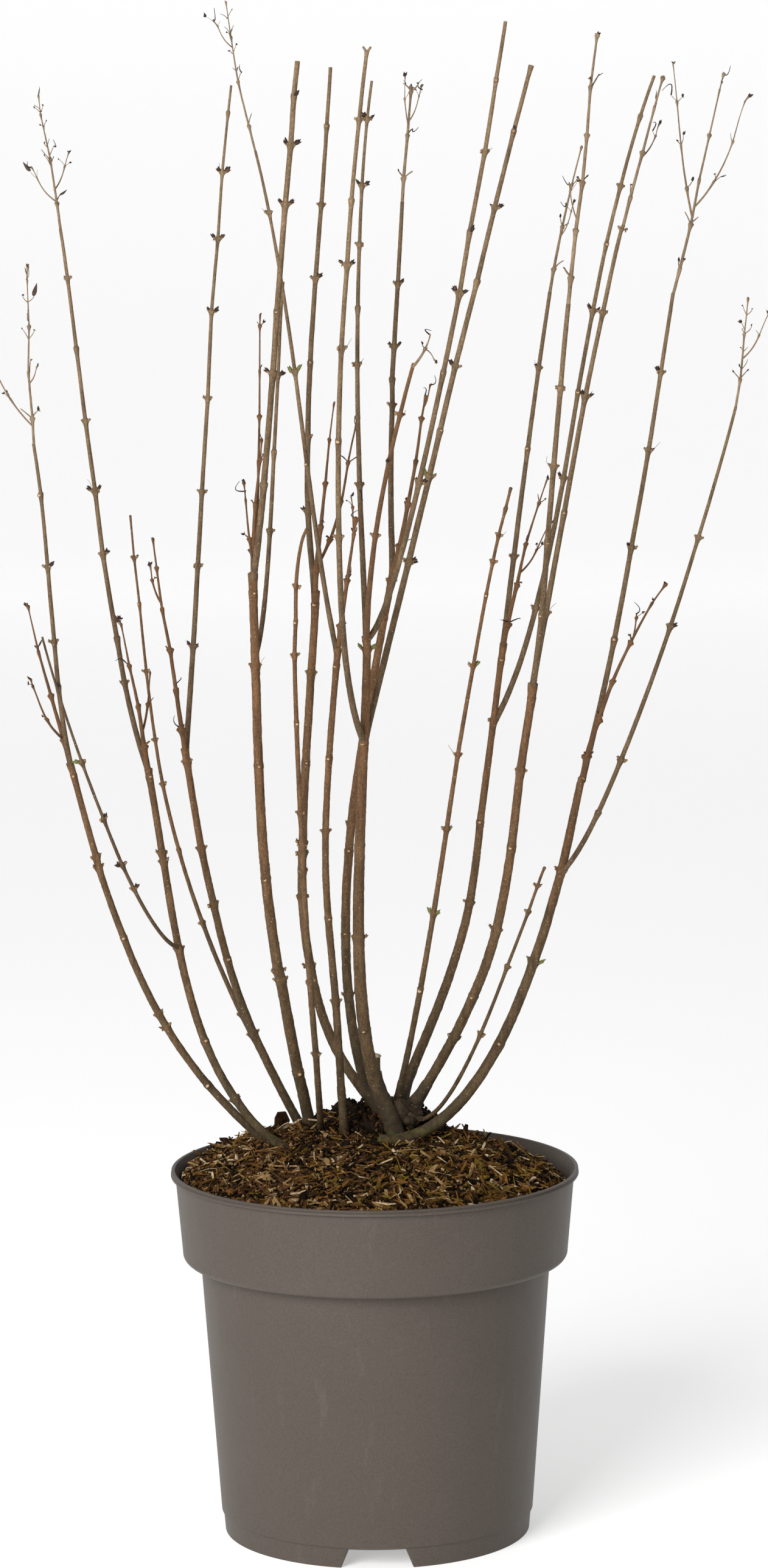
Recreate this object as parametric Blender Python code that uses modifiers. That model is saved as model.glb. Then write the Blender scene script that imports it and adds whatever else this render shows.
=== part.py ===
"""A bare lilac bush of many stems, standing in a plain nursery pot filled with bark mulch.

Metres, +Z up. The origin is on the ground under the pot's middle, which is also the middle of the bush.
Azimuths follow the usual front view: -Y is the front, +X is to the right, +Y is the back.
"""

import math
import random

import bmesh
import bpy
from mathutils import Vector

# Clearance kept between two pieces that meet
GAP = 0.0003
WELD = 0.00001

# Pot: a turned shell with a rolled lip, a wide collar, a tapering body and a foot ring
POT_HEIGHT = 0.280
POT_SIDES = 48
RIM_RADIUS = 0.155
WALL = 0.0025
LIP_HEIGHT = 0.0045
LIP_ROUND = 0.0012
COLLAR_TOP_RADIUS = 0.1515
COLLAR_FOOT_RADIUS = 0.1465
COLLAR_FOOT = 0.2115
COLLAR_ROUND = 0.0045
BODY_TOP_RADIUS = 0.1330
BODY_FOOT_RADIUS = 0.1192
FOOT_HEIGHT = 0.0155
FOOT_TOP_RADIUS = 0.1178
FOOT_RADIUS = 0.1165
FLOOR_THICKNESS = 0.0030
NOTCH_COUNT = 3
NOTCH_TOP_WIDTH = 0.043
NOTCH_FOOT_WIDTH = 0.055

# Mulch: fills the pot and is heaped up towards the stems
MULCH_EDGE = 0.270
MULCH_RISE = 0.036
MULCH_RINGS = 5

# Stool: the woody crown that the middle stems rise from
STOOL_CENTRE = Vector((0.012, 0.026, 0.303))
STOOL_HALF_SIZE = Vector((0.028, 0.052, 0.026))
STOOL_LUMPS = 0.07

# Limbs: how deep a foot is sunk, how deep a fork starts inside its parent, and how finely a path is cut
SINK = 0.010
FORK_SINK = 0.003
STEM_STEP = 0.040
TWIG_STEP = 0.030
STEM_ROUND = 2
BOUGH_ROUND = 1
TWIG_ROUND = 0

# Side twigs of a mass: pairs at each node, each pair turned a quarter from the last
NODE_GAP = 0.034
NODE_FIRST = 0.022
SPROUT_CHANCE = 0.55
SPUR_LENGTHS = (0.005, 0.012)
SPUR_SHARE = 0.62
SPUR_LEANS = (32.0, 55.0)
TURN_UP = 0.16
KEEP_CLEAR = 0.004

# Finishes: base colour and roughness
POT_PLASTIC = ((0.150, 0.128, 0.110), 0.50)
BARK_MULCH = ((0.055, 0.030, 0.013), 0.95)
OLD_WOOD = ((0.045, 0.028, 0.015), 0.90)
STEM_BARK = ((0.125, 0.078, 0.042), 0.80)
BOUGH_BARK = ((0.205, 0.145, 0.090), 0.78)
TWIG_BARK = ((0.185, 0.110, 0.062), 0.78)

# Each limb's path is a cubic through its root, its tip and two points at a third and two thirds of the way,
# which stand off the straight line by the two bows.
# Stems: name, foot (x, y), tip, bow at a third, bow at two thirds, diameters at foot and tip
STEMS = [
    ("stem_far_left", (-0.081, -0.010), (-0.225, -0.030, 0.595),
     (-0.018, 0.006, -0.023), (-0.013, 0.004, -0.030), 0.0062, 0.0046),
    ("stem_outer_left", (-0.069, -0.028), (-0.170, 0.040, 0.581),
     (-0.023, -0.006, -0.019), (-0.017, -0.002, -0.008), 0.0066, 0.0052),
    ("stem_back_left", (-0.056, 0.068), (-0.189, 0.190, 0.763),
     (-0.038, 0.025, 0.005), (-0.028, 0.018, -0.008), 0.0042, 0.0016),
    ("stem_left", (-0.057, 0.048), (-0.143, 0.060, 0.594),
     (-0.010, 0.004, -0.017), (-0.007, 0.004, -0.030), 0.0068, 0.0052),
    ("stem_left_thick", (-0.049, 0.032), (-0.086, -0.060, 0.738),
     (-0.011, -0.016, -0.006), (-0.009, -0.010, -0.030), 0.0088, 0.0062),
    ("stem_front_left", (-0.041, 0.014), (-0.044, -0.190, 0.780),
     (-0.005, -0.018, -0.020), (-0.011, -0.012, 0.030), 0.0054, 0.0022),
    ("stem_mid_left", (-0.001, 0.024), (-0.042, 0.070, 0.713),
     (-0.034, 0.010, -0.030), (-0.024, 0.006, -0.025), 0.0076, 0.0058),
    ("stem_front_mid", (-0.023, -0.002), (-0.024, -0.060, 0.682),
     (-0.008, -0.010, 0.023), (-0.011, -0.008, -0.015), 0.0060, 0.0046),
    ("stem_back_mid", (-0.003, 0.059), (0.018, 0.150, 0.724),
     (-0.026, 0.020, -0.018), (-0.021, 0.014, -0.017), 0.0080, 0.0056),
    ("stem_centre", (0.008, 0.005), (-0.003, -0.040, 0.689),
     (-0.014, -0.012, -0.016), (-0.008, -0.008, 0), 0.0106, 0.0058),
    ("cut_stub", (0.005, 0.042), (0.002, 0.045, 0.357),
     (-0.001, 0, 0), (-0.001, 0, 0), 0.0064, 0.0054),
    ("stem_front_right", (0.0175, 0.018), (0.100, -0.200, 0.809),
     (0, -0.020, 0), (-0.004, -0.016, 0), 0.0050, 0.0020),
    ("stem_back_right", (0.020, 0.036), (0.102, 0.090, 0.670),
     (0.018, 0.012, -0.004), (0.008, 0.008, -0.030), 0.0078, 0.0048),
    ("stem_right", (0.030, 0.018), (0.120, -0.050, 0.654),
     (0.020, -0.006, -0.009), (0.011, -0.006, -0.030), 0.0080, 0.0062),
    ("stem_far_right", (0.015, -0.029), (0.159, 0.010, 0.574),
     (0.035, 0.008, -0.014), (0.032, 0.006, 0.025), 0.0092, 0.0054),
    ("stem_low_right", (0.030, -0.001), (0.126, -0.110, 0.525),
     (0.006, 0.016, -0.028), (0.011, 0.008, 0.002), 0.0034, 0.0020),
]

# Boughs: name, limb that carries it, share of that limb's length, tip, two bows, diameters at root and tip
BOUGHS = [
    ("bough_far_left", "stem_far_left", 1.0, (-0.245, -0.070, 0.835),
     (-0.002, -0.006, 0), (0, -0.004, 0), 0.0038, 0.0024),
    ("bough_outer_left", "stem_outer_left", 1.0, (-0.233, 0.080, 0.989),
     (-0.006, 0.004, -0.016), (-0.005, 0.004, 0.005), 0.0044, 0.0024),
    ("bough_outer_left_low", "stem_outer_left", 0.57, (-0.238, -0.110, 0.697),
     (-0.002, -0.010, -0.026), (-0.007, -0.008, -0.007), 0.0032, 0.0016),
    ("bough_left", "stem_left", 1.0, (-0.105, 0.170, 1.097),
     (-0.001, 0.010, 0), (-0.003, 0.008, 0), 0.0044, 0.0018),
    ("bough_left_thick_front", "stem_left_thick", 1.0, (-0.048, -0.150, 1.108),
     (-0.001, -0.012, -0.028), (0, -0.010, -0.007), 0.0050, 0.0036),
    ("bough_left_thick_back", "stem_left_thick", 0.90, (-0.064, 0.060, 0.948),
     (0.003, 0.010, -0.019), (0.002, 0.008, 0.002), 0.0040, 0.0020),
    ("bough_mid_left", "stem_mid_left", 1.0, (-0.028, 0.160, 1.110),
     (-0.010, 0.008, 0), (-0.006, 0.006, 0), 0.0048, 0.0028),
    ("bough_crossing", "stem_front_mid", 1.0, (-0.083, 0.020, 1.046),
     (0.001, 0.004, -0.010), (0.003, 0.004, 0), 0.0040, 0.0020),
    ("bough_centre_left", "stem_centre", 0.77, (0.001, -0.170, 1.114),
     (-0.019, -0.016, -0.030), (-0.015, -0.012, 0), 0.0050, 0.0026),
    ("bough_centre_front", "stem_centre", 1.0, (0.032, -0.215, 0.897),
     (-0.006, -0.014, 0), (-0.006, -0.010, 0), 0.0044, 0.0026),
    ("bough_centre_back", "stem_centre", 1.0, (0.004, 0.020, 1.097),
     (-0.007, 0.010, -0.010), (-0.009, 0.008, -0.010), 0.0046, 0.0020),
    ("bough_centre_right", "stem_centre", 1.0, (0.101, -0.070, 1.137),
     (0.006, -0.006, -0.030), (0.014, -0.004, 0.028), 0.0046, 0.0026),
    ("bough_tall_right", "stem_centre", 0.77, (0.125, 0.100, 1.109),
     (0, 0.014, 0), (-0.002, 0.010, -0.006), 0.0052, 0.0032),
    ("bough_back_mid", "stem_back_mid", 1.0, (0.027, 0.225, 1.006),
     (-0.004, 0.008, 0), (-0.003, 0.006, 0), 0.0048, 0.0030),
    ("bough_back_right", "stem_back_right", 1.0, (0.141, 0.165, 0.936),
     (-0.001, 0.006, 0), (-0.001, 0.005, 0), 0.0044, 0.0030),
    ("bough_back_right_tall", "stem_back_right", 0.88, (0.219, 0.110, 1.101),
     (0.003, 0.004, -0.030), (-0.005, 0.004, -0.014), 0.0046, 0.0024),
    ("bough_right", "stem_right", 1.0, (0.144, -0.120, 0.935),
     (0, -0.006, -0.012), (0, -0.004, 0), 0.0048, 0.0034),
    ("bough_right_outer", "stem_right", 1.0, (0.188, -0.035, 0.990),
     (-0.005, 0.006, -0.016), (0.001, 0.004, 0.018), 0.0048, 0.0028),
    ("bough_far_right", "stem_far_right", 1.0, (0.229, 0.040, 0.938),
     (0.005, 0.004, 0), (0.004, 0.003, 0), 0.0046, 0.0028),
    ("bough_far_right_low", "stem_far_right", 0.65, (0.271, -0.030, 0.856),
     (0.005, -0.006, -0.023), (0.012, -0.004, 0.007), 0.0042, 0.0022),
]

# Twig masses: name, limb that carries it, leader's tip, bow, diameters at root and tip,
# then its long side twigs as share of the leader, tip and root diameter
TWIGS = [
    ("twigs_far_left_low", "stem_far_left", (-0.256, -0.016, 0.712), (-0.001, 0.004, 0), 0.0034, 0.0010,
     [(0.18, (-0.252, -0.060, 0.662), 0.0018)]),
    ("twigs_far_left_top", "bough_far_left", (-0.246, -0.090, 0.965), (-0.001, 0, 0), 0.0022, 0.0010,
     [(0.12, (-0.290, -0.064, 0.938), 0.0014), (0.36, (-0.239, -0.094, 0.893), 0.0012)]),
    ("twigs_outer_left_low", "stem_outer_left", (-0.189, 0.000, 0.701), (0.001, 0.002, 0), 0.0036, 0.0010,
     [(0.26, (-0.168, 0.048, 0.655), 0.0018)]),
    ("twigs_outer_left_top", "bough_outer_left", (-0.249, 0.095, 1.090), (0, 0.001, 0), 0.0023, 0.0010,
     [(0.22, (-0.254, 0.074, 1.036), 0.0012), (0.30, (-0.227, 0.102, 1.047), 0.0013)]),
    ("twigs_left", "stem_left", (-0.163, 0.000, 0.760), (0, -0.004, 0), 0.0036, 0.0014,
     [(0.70, (-0.167, 0.034, 0.737), 0.0016)]),
    ("twigs_left_thick", "stem_left_thick", (-0.079, -0.035, 0.836), (-0.001, 0.002, 0), 0.0036, 0.0012,
     [(0.30, (-0.079, -0.012, 0.927), 0.0020), (0.12, (-0.091, -0.092, 0.808), 0.0018)]),
    ("twigs_mid_left", "stem_mid_left", (-0.026, 0.040, 0.858), (-0.001, -0.004, 0), 0.0038, 0.0010,
     [(0.16, (-0.009, 0.128, 0.843), 0.0024)]),
    ("twigs_front_mid", "stem_front_mid", (-0.010, -0.046, 0.778), (0, 0.002, 0), 0.0036, 0.0018,
     [(0.88, (-0.013, -0.030, 0.793), 0.0012), (0.92, (-0.005, -0.052, 0.791), 0.0012)]),
    ("twigs_crossing_top", "bough_crossing", (-0.105, 0.040, 1.157), (-0.002, 0.002, 0), 0.0019, 0.0010,
     [(0.70, (-0.113, 0.020, 1.143), 0.0010)]),
    ("twigs_centre_front_top", "bough_centre_front", (0.043, -0.241, 0.919), (0.002, -0.002, 0),
     0.0024, 0.0010, [(0.55, (0.048, -0.218, 0.899), 0.0010)]),
    ("twigs_back_mid_low", "stem_back_mid", (0.043, 0.130, 0.859), (0.002, -0.006, 0), 0.0038, 0.0018,
     [(0.93, (0.048, 0.120, 0.868), 0.0014)]),
    ("twigs_back_mid_top", "bough_back_mid", (0.035, 0.236, 1.097), (0, 0.001, 0), 0.0029, 0.0024,
     [(0.66, (0.029, 0.228, 1.105), 0.0012), (0.70, (0.043, 0.240, 1.097), 0.0012)]),
    ("twigs_back_right_low", "stem_back_right", (0.135, 0.050, 0.799), (-0.003, -0.006, 0), 0.0036, 0.0010,
     [(0.45, (0.136, 0.076, 0.762), 0.0014)]),
    ("twigs_back_right_top", "bough_back_right", (0.167, 0.190, 1.049), (-0.001, 0.002, 0), 0.0028, 0.0014,
     [(0.40, (0.160, 0.166, 1.006), 0.0012)]),
    ("twigs_right_top", "bough_right", (0.164, -0.140, 1.126), (0, -0.002, 0), 0.0033, 0.0024,
     [(0.32, (0.144, -0.136, 1.022), 0.0012)]),
    ("twigs_right_outer_top", "bough_right_outer", (0.218, -0.030, 1.098), (-0.001, 0.001, 0),
     0.0027, 0.0020, [(0.45, (0.216, -0.016, 1.064), 0.0014)]),
    ("twigs_far_right_low", "stem_far_right", (0.218, -0.050, 0.728), (-0.008, -0.006, 0), 0.0040, 0.0014,
     [(0.72, (0.196, -0.054, 0.706), 0.0014)]),
    ("twigs_far_right_low_top", "bough_far_right_low", (0.279, -0.040, 0.937), (0.001, 0, 0), 0.0021, 0.0012,
     [(0.45, (0.293, -0.054, 0.926), 0.0014)]),
    ("twigs_far_right_top", "bough_far_right", (0.267, 0.050, 1.102), (0.001, 0.001, 0), 0.0027, 0.0014,
     [(0.36, (0.232, 0.080, 1.110), 0.0018), (0.40, (0.284, 0.020, 1.084), 0.0016)]),
]


def clear_scene():
    """Start from an empty file, without closing it."""
    for old in list(bpy.data.objects):
        bpy.data.objects.remove(old)


def new_collection(name):
    """A collection linked to the scene."""
    made = bpy.data.collections.new(name)
    bpy.context.scene.collection.children.link(made)
    return made


def paint(thing, finish):
    """Give a piece its own Principled material."""
    colour, roughness = finish
    material = bpy.data.materials.new(thing.name + "_finish")
    material.use_nodes = True
    shader = material.node_tree.nodes["Principled BSDF"]
    shader.inputs["Base Color"].default_value = (*colour, 1.0)
    shader.inputs["Roughness"].default_value = roughness
    shader.inputs["Metallic"].default_value = 0.0
    thing.data.materials.clear()
    thing.data.materials.append(material)


def on_plane(radius, height):
    """A profile point in the XZ plane."""
    return (radius, 0.0, height)


def turned(name, profile, collection):
    """A solid turned about Z from a profile that starts on the axis and ends on the axis."""
    mesh = bpy.data.meshes.new(name)
    edges = [(i, i + 1) for i in range(len(profile) - 1)]
    mesh.from_pydata(profile, edges, [])
    thing = bpy.data.objects.new(name, mesh)
    collection.objects.link(thing)
    screw = thing.modifiers.new("turn", "SCREW")
    screw.axis = "Z"
    screw.steps = POT_SIDES
    screw.render_steps = POT_SIDES
    screw.use_merge_vertices = True
    screw.merge_threshold = WELD
    return thing


def arc(centre, radius, start, end, count):
    """Profile points on an arc in the XZ plane, between two angles in degrees from +X."""
    angles = [math.radians(start + (end - start) * i / count) for i in range(count + 1)]
    return [on_plane(centre[0] + radius * math.cos(a), centre[1] + radius * math.sin(a)) for a in angles]


def inner_wall(clear=0.0):
    """The pot's inner wall from the top down, drawn in by a clearance."""
    inset = WALL + clear
    return [
        on_plane(COLLAR_TOP_RADIUS - inset, POT_HEIGHT - LIP_ROUND),
        on_plane(COLLAR_FOOT_RADIUS - inset, COLLAR_FOOT + WALL + COLLAR_ROUND + clear),
        on_plane(BODY_TOP_RADIUS - inset, COLLAR_FOOT + WALL + clear),
        on_plane(BODY_FOOT_RADIUS - inset, FOOT_HEIGHT + FLOOR_THICKNESS + clear),
    ]


def pot_profile():
    """Up the inside from the floor, over the lip, down the outside and round the foot ring."""
    floor = FOOT_HEIGHT + FLOOR_THICKNESS
    lip_foot = POT_HEIGHT - LIP_HEIGHT
    lip_centre = (RIM_RADIUS - LIP_ROUND, POT_HEIGHT - LIP_ROUND)
    lip_low_centre = (RIM_RADIUS - LIP_ROUND, lip_foot + LIP_ROUND)
    round_centre = (COLLAR_FOOT_RADIUS - COLLAR_ROUND, COLLAR_FOOT + COLLAR_ROUND)
    profile = [on_plane(0, floor)]
    profile += reversed(inner_wall())
    profile += [on_plane(COLLAR_TOP_RADIUS - WALL + LIP_ROUND, POT_HEIGHT)]
    profile += arc(lip_centre, LIP_ROUND, 90, 0, 2)
    profile += arc(lip_low_centre, LIP_ROUND, 0, -90, 1)
    profile += [on_plane(COLLAR_TOP_RADIUS, lip_foot)]
    profile += arc(round_centre, COLLAR_ROUND, 0, -90, 2)
    profile += [on_plane(BODY_TOP_RADIUS, COLLAR_FOOT)]
    profile += [on_plane(BODY_FOOT_RADIUS, FOOT_HEIGHT + WALL / 4)]
    profile += [on_plane(FOOT_TOP_RADIUS, FOOT_HEIGHT - WALL / 4)]
    profile += [on_plane(FOOT_RADIUS, 0), on_plane(FOOT_RADIUS - WALL, 0)]
    profile += [on_plane(FOOT_TOP_RADIUS - WALL, FOOT_HEIGHT), on_plane(0, FOOT_HEIGHT)]
    return profile


def notch_cutter(turn, collection):
    """A block with sloping ends that cuts one drainage notch from the foot ring."""
    bpy.ops.mesh.primitive_cube_add(size=1.0)
    block = bpy.context.object
    block.name = "notch_cutter"
    for corner in block.data.vertices:
        low = corner.co.z < 0
        width = NOTCH_FOOT_WIDTH if low else NOTCH_TOP_WIDTH
        corner.co.x = math.copysign(width / 2, corner.co.x)
        corner.co.y = -FOOT_RADIUS + math.copysign(FOOT_HEIGHT, corner.co.y)
        corner.co.z = -FOOT_HEIGHT / 8 if low else FOOT_HEIGHT - WALL / 2
    block.rotation_euler.z = turn
    move_to(block, collection)
    return block


def move_to(thing, collection):
    """Put an object in one collection only."""
    for home in list(thing.users_collection):
        home.objects.unlink(thing)
    collection.objects.link(thing)


def boolean(thing, operation, collection, solver="EXACT"):
    """Cut a collection's objects from a piece, or join them to it, and apply the result to its mesh."""
    step = thing.modifiers.new(operation.lower(), "BOOLEAN")
    step.operation = operation
    step.operand_type = "COLLECTION"
    step.collection = collection
    step.solver = solver
    bake(thing)


def bake(thing):
    """Replace a piece's mesh with its evaluated mesh."""
    bpy.context.view_layer.update()
    evaluated = thing.evaluated_get(bpy.context.evaluated_depsgraph_get())
    made = bpy.data.meshes.new_from_object(evaluated)
    made.name = thing.name
    thing.modifiers.clear()
    thing.data = made


def empty_out(collection):
    """Remove a collection's objects."""
    for used in list(collection.objects):
        bpy.data.objects.remove(used)


def keep_largest(thing):
    """Drop the loose scraps that a cut can leave beside the main body."""
    work = bmesh.new()
    work.from_mesh(thing.data)
    waiting = set(work.verts)
    groups = []
    while waiting:
        edge = [waiting.pop()]
        group = set(edge)
        while edge:
            vert = edge.pop()
            for link in vert.link_edges:
                other = link.other_vert(vert)
                if other not in group:
                    group.add(other)
                    edge.append(other)
        waiting -= group
        groups.append(group)
    largest = max(groups, key=len)
    loose = [vert for group in groups if group is not largest for vert in group]
    bmesh.ops.delete(work, geom=loose, context="VERTS")
    work.to_mesh(thing.data)
    work.free()


def smooth(thing):
    """Round pieces are shaded smooth, with their real corners kept sharp."""
    thing.data.shade_smooth()
    thing.data.set_sharp_from_angle(angle=math.radians(45))


def tube(name, points, radii, roundness, collection):
    """A tapering closed tube along a path, as a mesh: radii are scales on a bevel of one metre."""
    curve = bpy.data.curves.new(name, "CURVE")
    curve.dimensions = "3D"
    curve.bevel_depth = 1.0
    curve.bevel_resolution = roundness
    curve.use_fill_caps = True
    spline = curve.splines.new("POLY")
    spline.points.add(len(points) - 1)
    for slot, point, radius in zip(spline.points, points, radii):
        slot.co = (*point, 1.0)
        slot.radius = radius
    drawn = bpy.data.objects.new(name + "_curve", curve)
    collection.objects.link(drawn)
    bpy.context.view_layer.update()
    evaluated = drawn.evaluated_get(bpy.context.evaluated_depsgraph_get())
    mesh = bpy.data.meshes.new_from_object(evaluated)
    bpy.data.objects.remove(drawn)
    work = bmesh.new()
    work.from_mesh(mesh)
    bmesh.ops.remove_doubles(work, verts=work.verts, dist=WELD)
    bmesh.ops.recalc_face_normals(work, faces=work.faces)
    work.to_mesh(mesh)
    work.free()
    mesh.name = name
    made = bpy.data.objects.new(name, mesh)
    collection.objects.link(made)
    return made


class Limb:
    """A tapering limb: the cubic through its root, its tip and two points off the straight line."""

    def __init__(self, name, root, tip, low, high, thick, thin):
        self.name = name
        self.root = Vector(root)
        self.tip = Vector(tip)
        span = self.tip - self.root
        self.low = self.root + span / 3 + Vector(low)
        self.high = self.root + span * (2 / 3) + Vector(high)
        self.thick = thick
        self.thin = thin
        self.span = span.length

    def point(self, share):
        """Cubic interpolation of the four points, which lie at shares 0, 1/3, 2/3 and 1."""
        a = -4.5 * (share - 1 / 3) * (share - 2 / 3) * (share - 1)
        b = 13.5 * share * (share - 2 / 3) * (share - 1)
        c = -13.5 * share * (share - 1 / 3) * (share - 1)
        d = 4.5 * share * (share - 1 / 3) * (share - 2 / 3)
        return self.root * a + self.low * b + self.high * c + self.tip * d

    def heading(self, share):
        """Unit direction of growth at a share of the length."""
        step = 0.01
        return (self.point(share + step) - self.point(share - step)).normalized()

    def radius(self, share):
        """Radius at a share of the length: a straight taper."""
        return (self.thick + (self.thin - self.thick) * share) / 2

    def path(self, step, sink):
        """Points and radii along the limb, with its root carried back by sink."""
        count = max(3, round(self.span / step))
        shares = [i / count for i in range(count + 1)]
        points = [self.root - self.heading(0.01) * sink] + [self.point(s) for s in shares]
        radii = [self.radius(0)] + [self.radius(s) for s in shares]
        return points, radii


def make_limb(limb, step, roundness, sink, collection):
    """The limb as a mesh tube."""
    points, radii = limb.path(step, sink)
    return tube(limb.name, points, radii, roundness, collection)


def make_cutter(limb, step, roundness, sink, collection):
    """The limb grown by the gap all round and at both ends."""
    points, radii = limb.path(step, sink + GAP)
    points[-1] = points[-1] + (points[-1] - points[-2]).normalized() * GAP
    corner = math.cos(math.pi / (4 + 2 * roundness))
    radii = [radius + GAP / corner for radius in radii]
    return tube(limb.name + "_cutter", points, radii, roundness, collection)


def mulch_top(x, y):
    """Height of the heaped mulch: flat in the middle, falling with the cube of the distance."""
    share = math.hypot(x, y) / (COLLAR_TOP_RADIUS - WALL)
    return MULCH_EDGE + MULCH_RISE * (1 - share**3)


def stool_top(x, y):
    """Height of the stool's upper surface, or None where a point is outside its outline."""
    side = (x - STOOL_CENTRE.x) / STOOL_HALF_SIZE.x
    deep = (y - STOOL_CENTRE.y) / STOOL_HALF_SIZE.y
    rest = 1 - side**2 - deep**2
    if rest <= 0:
        return None
    return STOOL_CENTRE.z + STOOL_HALF_SIZE.z * math.sqrt(rest)


def build_pot(collection, cutters):
    """The turned shell, less its drainage notches."""
    pot = turned("pot", pot_profile(), collection)
    bake(pot)
    for i in range(NOTCH_COUNT):
        notch_cutter(2 * math.pi * i / NOTCH_COUNT, cutters)
    boolean(pot, "DIFFERENCE", cutters)
    empty_out(cutters)
    smooth(pot)
    paint(pot, POT_PLASTIC)
    return pot


def build_mulch(collection):
    """The fill: a heaped top, then down the pot's inner wall to its floor."""
    wall = inner_wall(GAP)
    drop = (wall[0][2] - MULCH_EDGE) / (wall[0][2] - wall[1][2])
    edge_radius = wall[0][0] + (wall[1][0] - wall[0][0]) * drop
    profile = []
    for i in range(MULCH_RINGS + 1):
        radius = edge_radius * i / MULCH_RINGS
        profile.append(on_plane(radius, mulch_top(radius, 0)))
    profile += wall[1:]
    profile.append(on_plane(0, wall[-1][2]))
    mulch = turned("mulch", profile, collection)
    bake(mulch)
    return mulch


def stool_body(name, grow, collection):
    """An ellipsoid with a few broad lumps, grown evenly by a clearance."""
    bpy.ops.mesh.primitive_ico_sphere_add(subdivisions=3, radius=1.0)
    body = bpy.context.object
    body.name = name
    body.data.name = name
    for corner in body.data.vertices:
        way = corner.co.copy()
        lump = math.sin(5 * way.x + 2) * math.sin(6 * way.y + 1) * math.sin(4 * way.z)
        scale = 1 + STOOL_LUMPS * lump
        size = STOOL_HALF_SIZE * scale + Vector((grow, grow, grow))
        corner.co = STOOL_CENTRE + way * size
    move_to(body, collection)
    return body


def grow_stems(stool, mulch, collection, cutters):
    """Every stem, its socket in the stool or the mulch, and the limb that others start from."""
    limbs = {}
    for name, foot, tip, low, high, thick, thin in STEMS:
        surface = stool_top(*foot) or mulch_top(*foot)
        limb = Limb(name, (*foot, surface), tip, low, high, thick, thin)
        stem = make_limb(limb, STEM_STEP, STEM_ROUND, SINK, collection)
        smooth(stem)
        paint(stem, STEM_BARK)
        make_cutter(limb, STEM_STEP, STEM_ROUND, SINK, cutters)
        limbs[name] = limb
    boolean(stool, "DIFFERENCE", cutters)
    keep_largest(stool)
    boolean(mulch, "DIFFERENCE", cutters)
    keep_largest(mulch)
    empty_out(cutters)
    return limbs


def cut_fork(piece, parent, siblings, cutters, solver="EXACT"):
    """Cut a limb's root back from the limb that carries it and from those that fork beside it."""
    for other in [parent, *siblings]:
        roundness = STEM_ROUND if other.name.startswith("stem") else BOUGH_ROUND
        make_cutter(other, STEM_STEP, roundness, 0.0, cutters)
    boolean(piece, "DIFFERENCE", cutters, solver)
    empty_out(cutters)
    keep_largest(piece)


def fork_start(parent, share):
    """Where a limb starts inside its parent, and the share it counts from."""
    back = FORK_SINK / parent.span if share == 1.0 else 0.0
    return parent.point(share - back)


def grow_boughs(limbs, collection, cutters):
    """Every bough, cut clear of the stem that carries it."""
    forks = {}
    for name, carrier, share, tip, low, high, thick, thin in BOUGHS:
        parent = limbs[carrier]
        limb = Limb(name, fork_start(parent, share), tip, low, high, thick, thin)
        bough = make_limb(limb, STEM_STEP, BOUGH_ROUND, 0.0, collection)
        siblings = forks.setdefault((carrier, share), [])
        cut_fork(bough, parent, siblings, cutters)
        smooth(bough)
        paint(bough, BOUGH_BARK)
        siblings.append(limb)
        limbs[name] = limb
    return forks


def sideways(direction, quarter):
    """A unit vector across a direction, level when quarter is even and turned a quarter when it is odd."""
    across = direction.cross(Vector((0, 0, 1)))
    across = across.normalized() if across.length > 0.01 else Vector((1, 0, 0))
    if quarter % 2:
        across = direction.cross(across).normalized()
    return across


def spurs_of(leader, rng):
    """Side twigs by rule: at each node a pair stands across the leader, and each sprouts by chance."""
    made = []
    length = leader.span
    count = int((length - NODE_FIRST) / NODE_GAP) + 1
    for node in range(count):
        share = (NODE_FIRST + NODE_GAP * node) / length
        heading = leader.heading(share)
        across = sideways(heading, node)
        for side in (1, -1):
            sprouts = rng.random() < SPROUT_CHANCE
            reach = rng.uniform(*SPUR_LENGTHS)
            lean = math.radians(rng.uniform(*SPUR_LEANS))
            if sprouts and share < 0.97:
                way = heading * math.cos(lean) + across * (side * math.sin(lean))
                made.append((leader.point(share), way, reach, leader.radius(share) * SPUR_SHARE))
    return made


def free_of(point, others):
    """Whether a point keeps clear of every sampled limb."""
    return all((point - centre).length > radius + KEEP_CLEAR for centre, radius in others)


def samples(limb):
    """Points along a limb, closer together than the clearance, each with its radius."""
    count = int(limb.span / KEEP_CLEAR) + 1
    return [(limb.point(i / count), limb.radius(i / count)) for i in range(count + 1)]


def long_twig(name, leader, share, tip, thick):
    """A side twig that leaves its leader sideways and turns up."""
    root = leader.point(share)
    level = Vector(tip) - root
    level.z = 0
    return Limb(name, root, tip, level * TURN_UP, level * (TURN_UP / 2), thick, thick * 0.55)


def spur(name, root, way, reach, thick, collection):
    """A three-sided twig that tapers to half."""
    bpy.ops.mesh.primitive_cone_add(vertices=3, radius1=thick, radius2=thick / 2, depth=reach)
    made = bpy.context.object
    made.name = name
    made.rotation_mode = "QUATERNION"
    made.rotation_quaternion = way.to_track_quat("Z", "Y")
    made.location = root + way * (reach / 2)
    move_to(made, collection)
    return made


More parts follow.
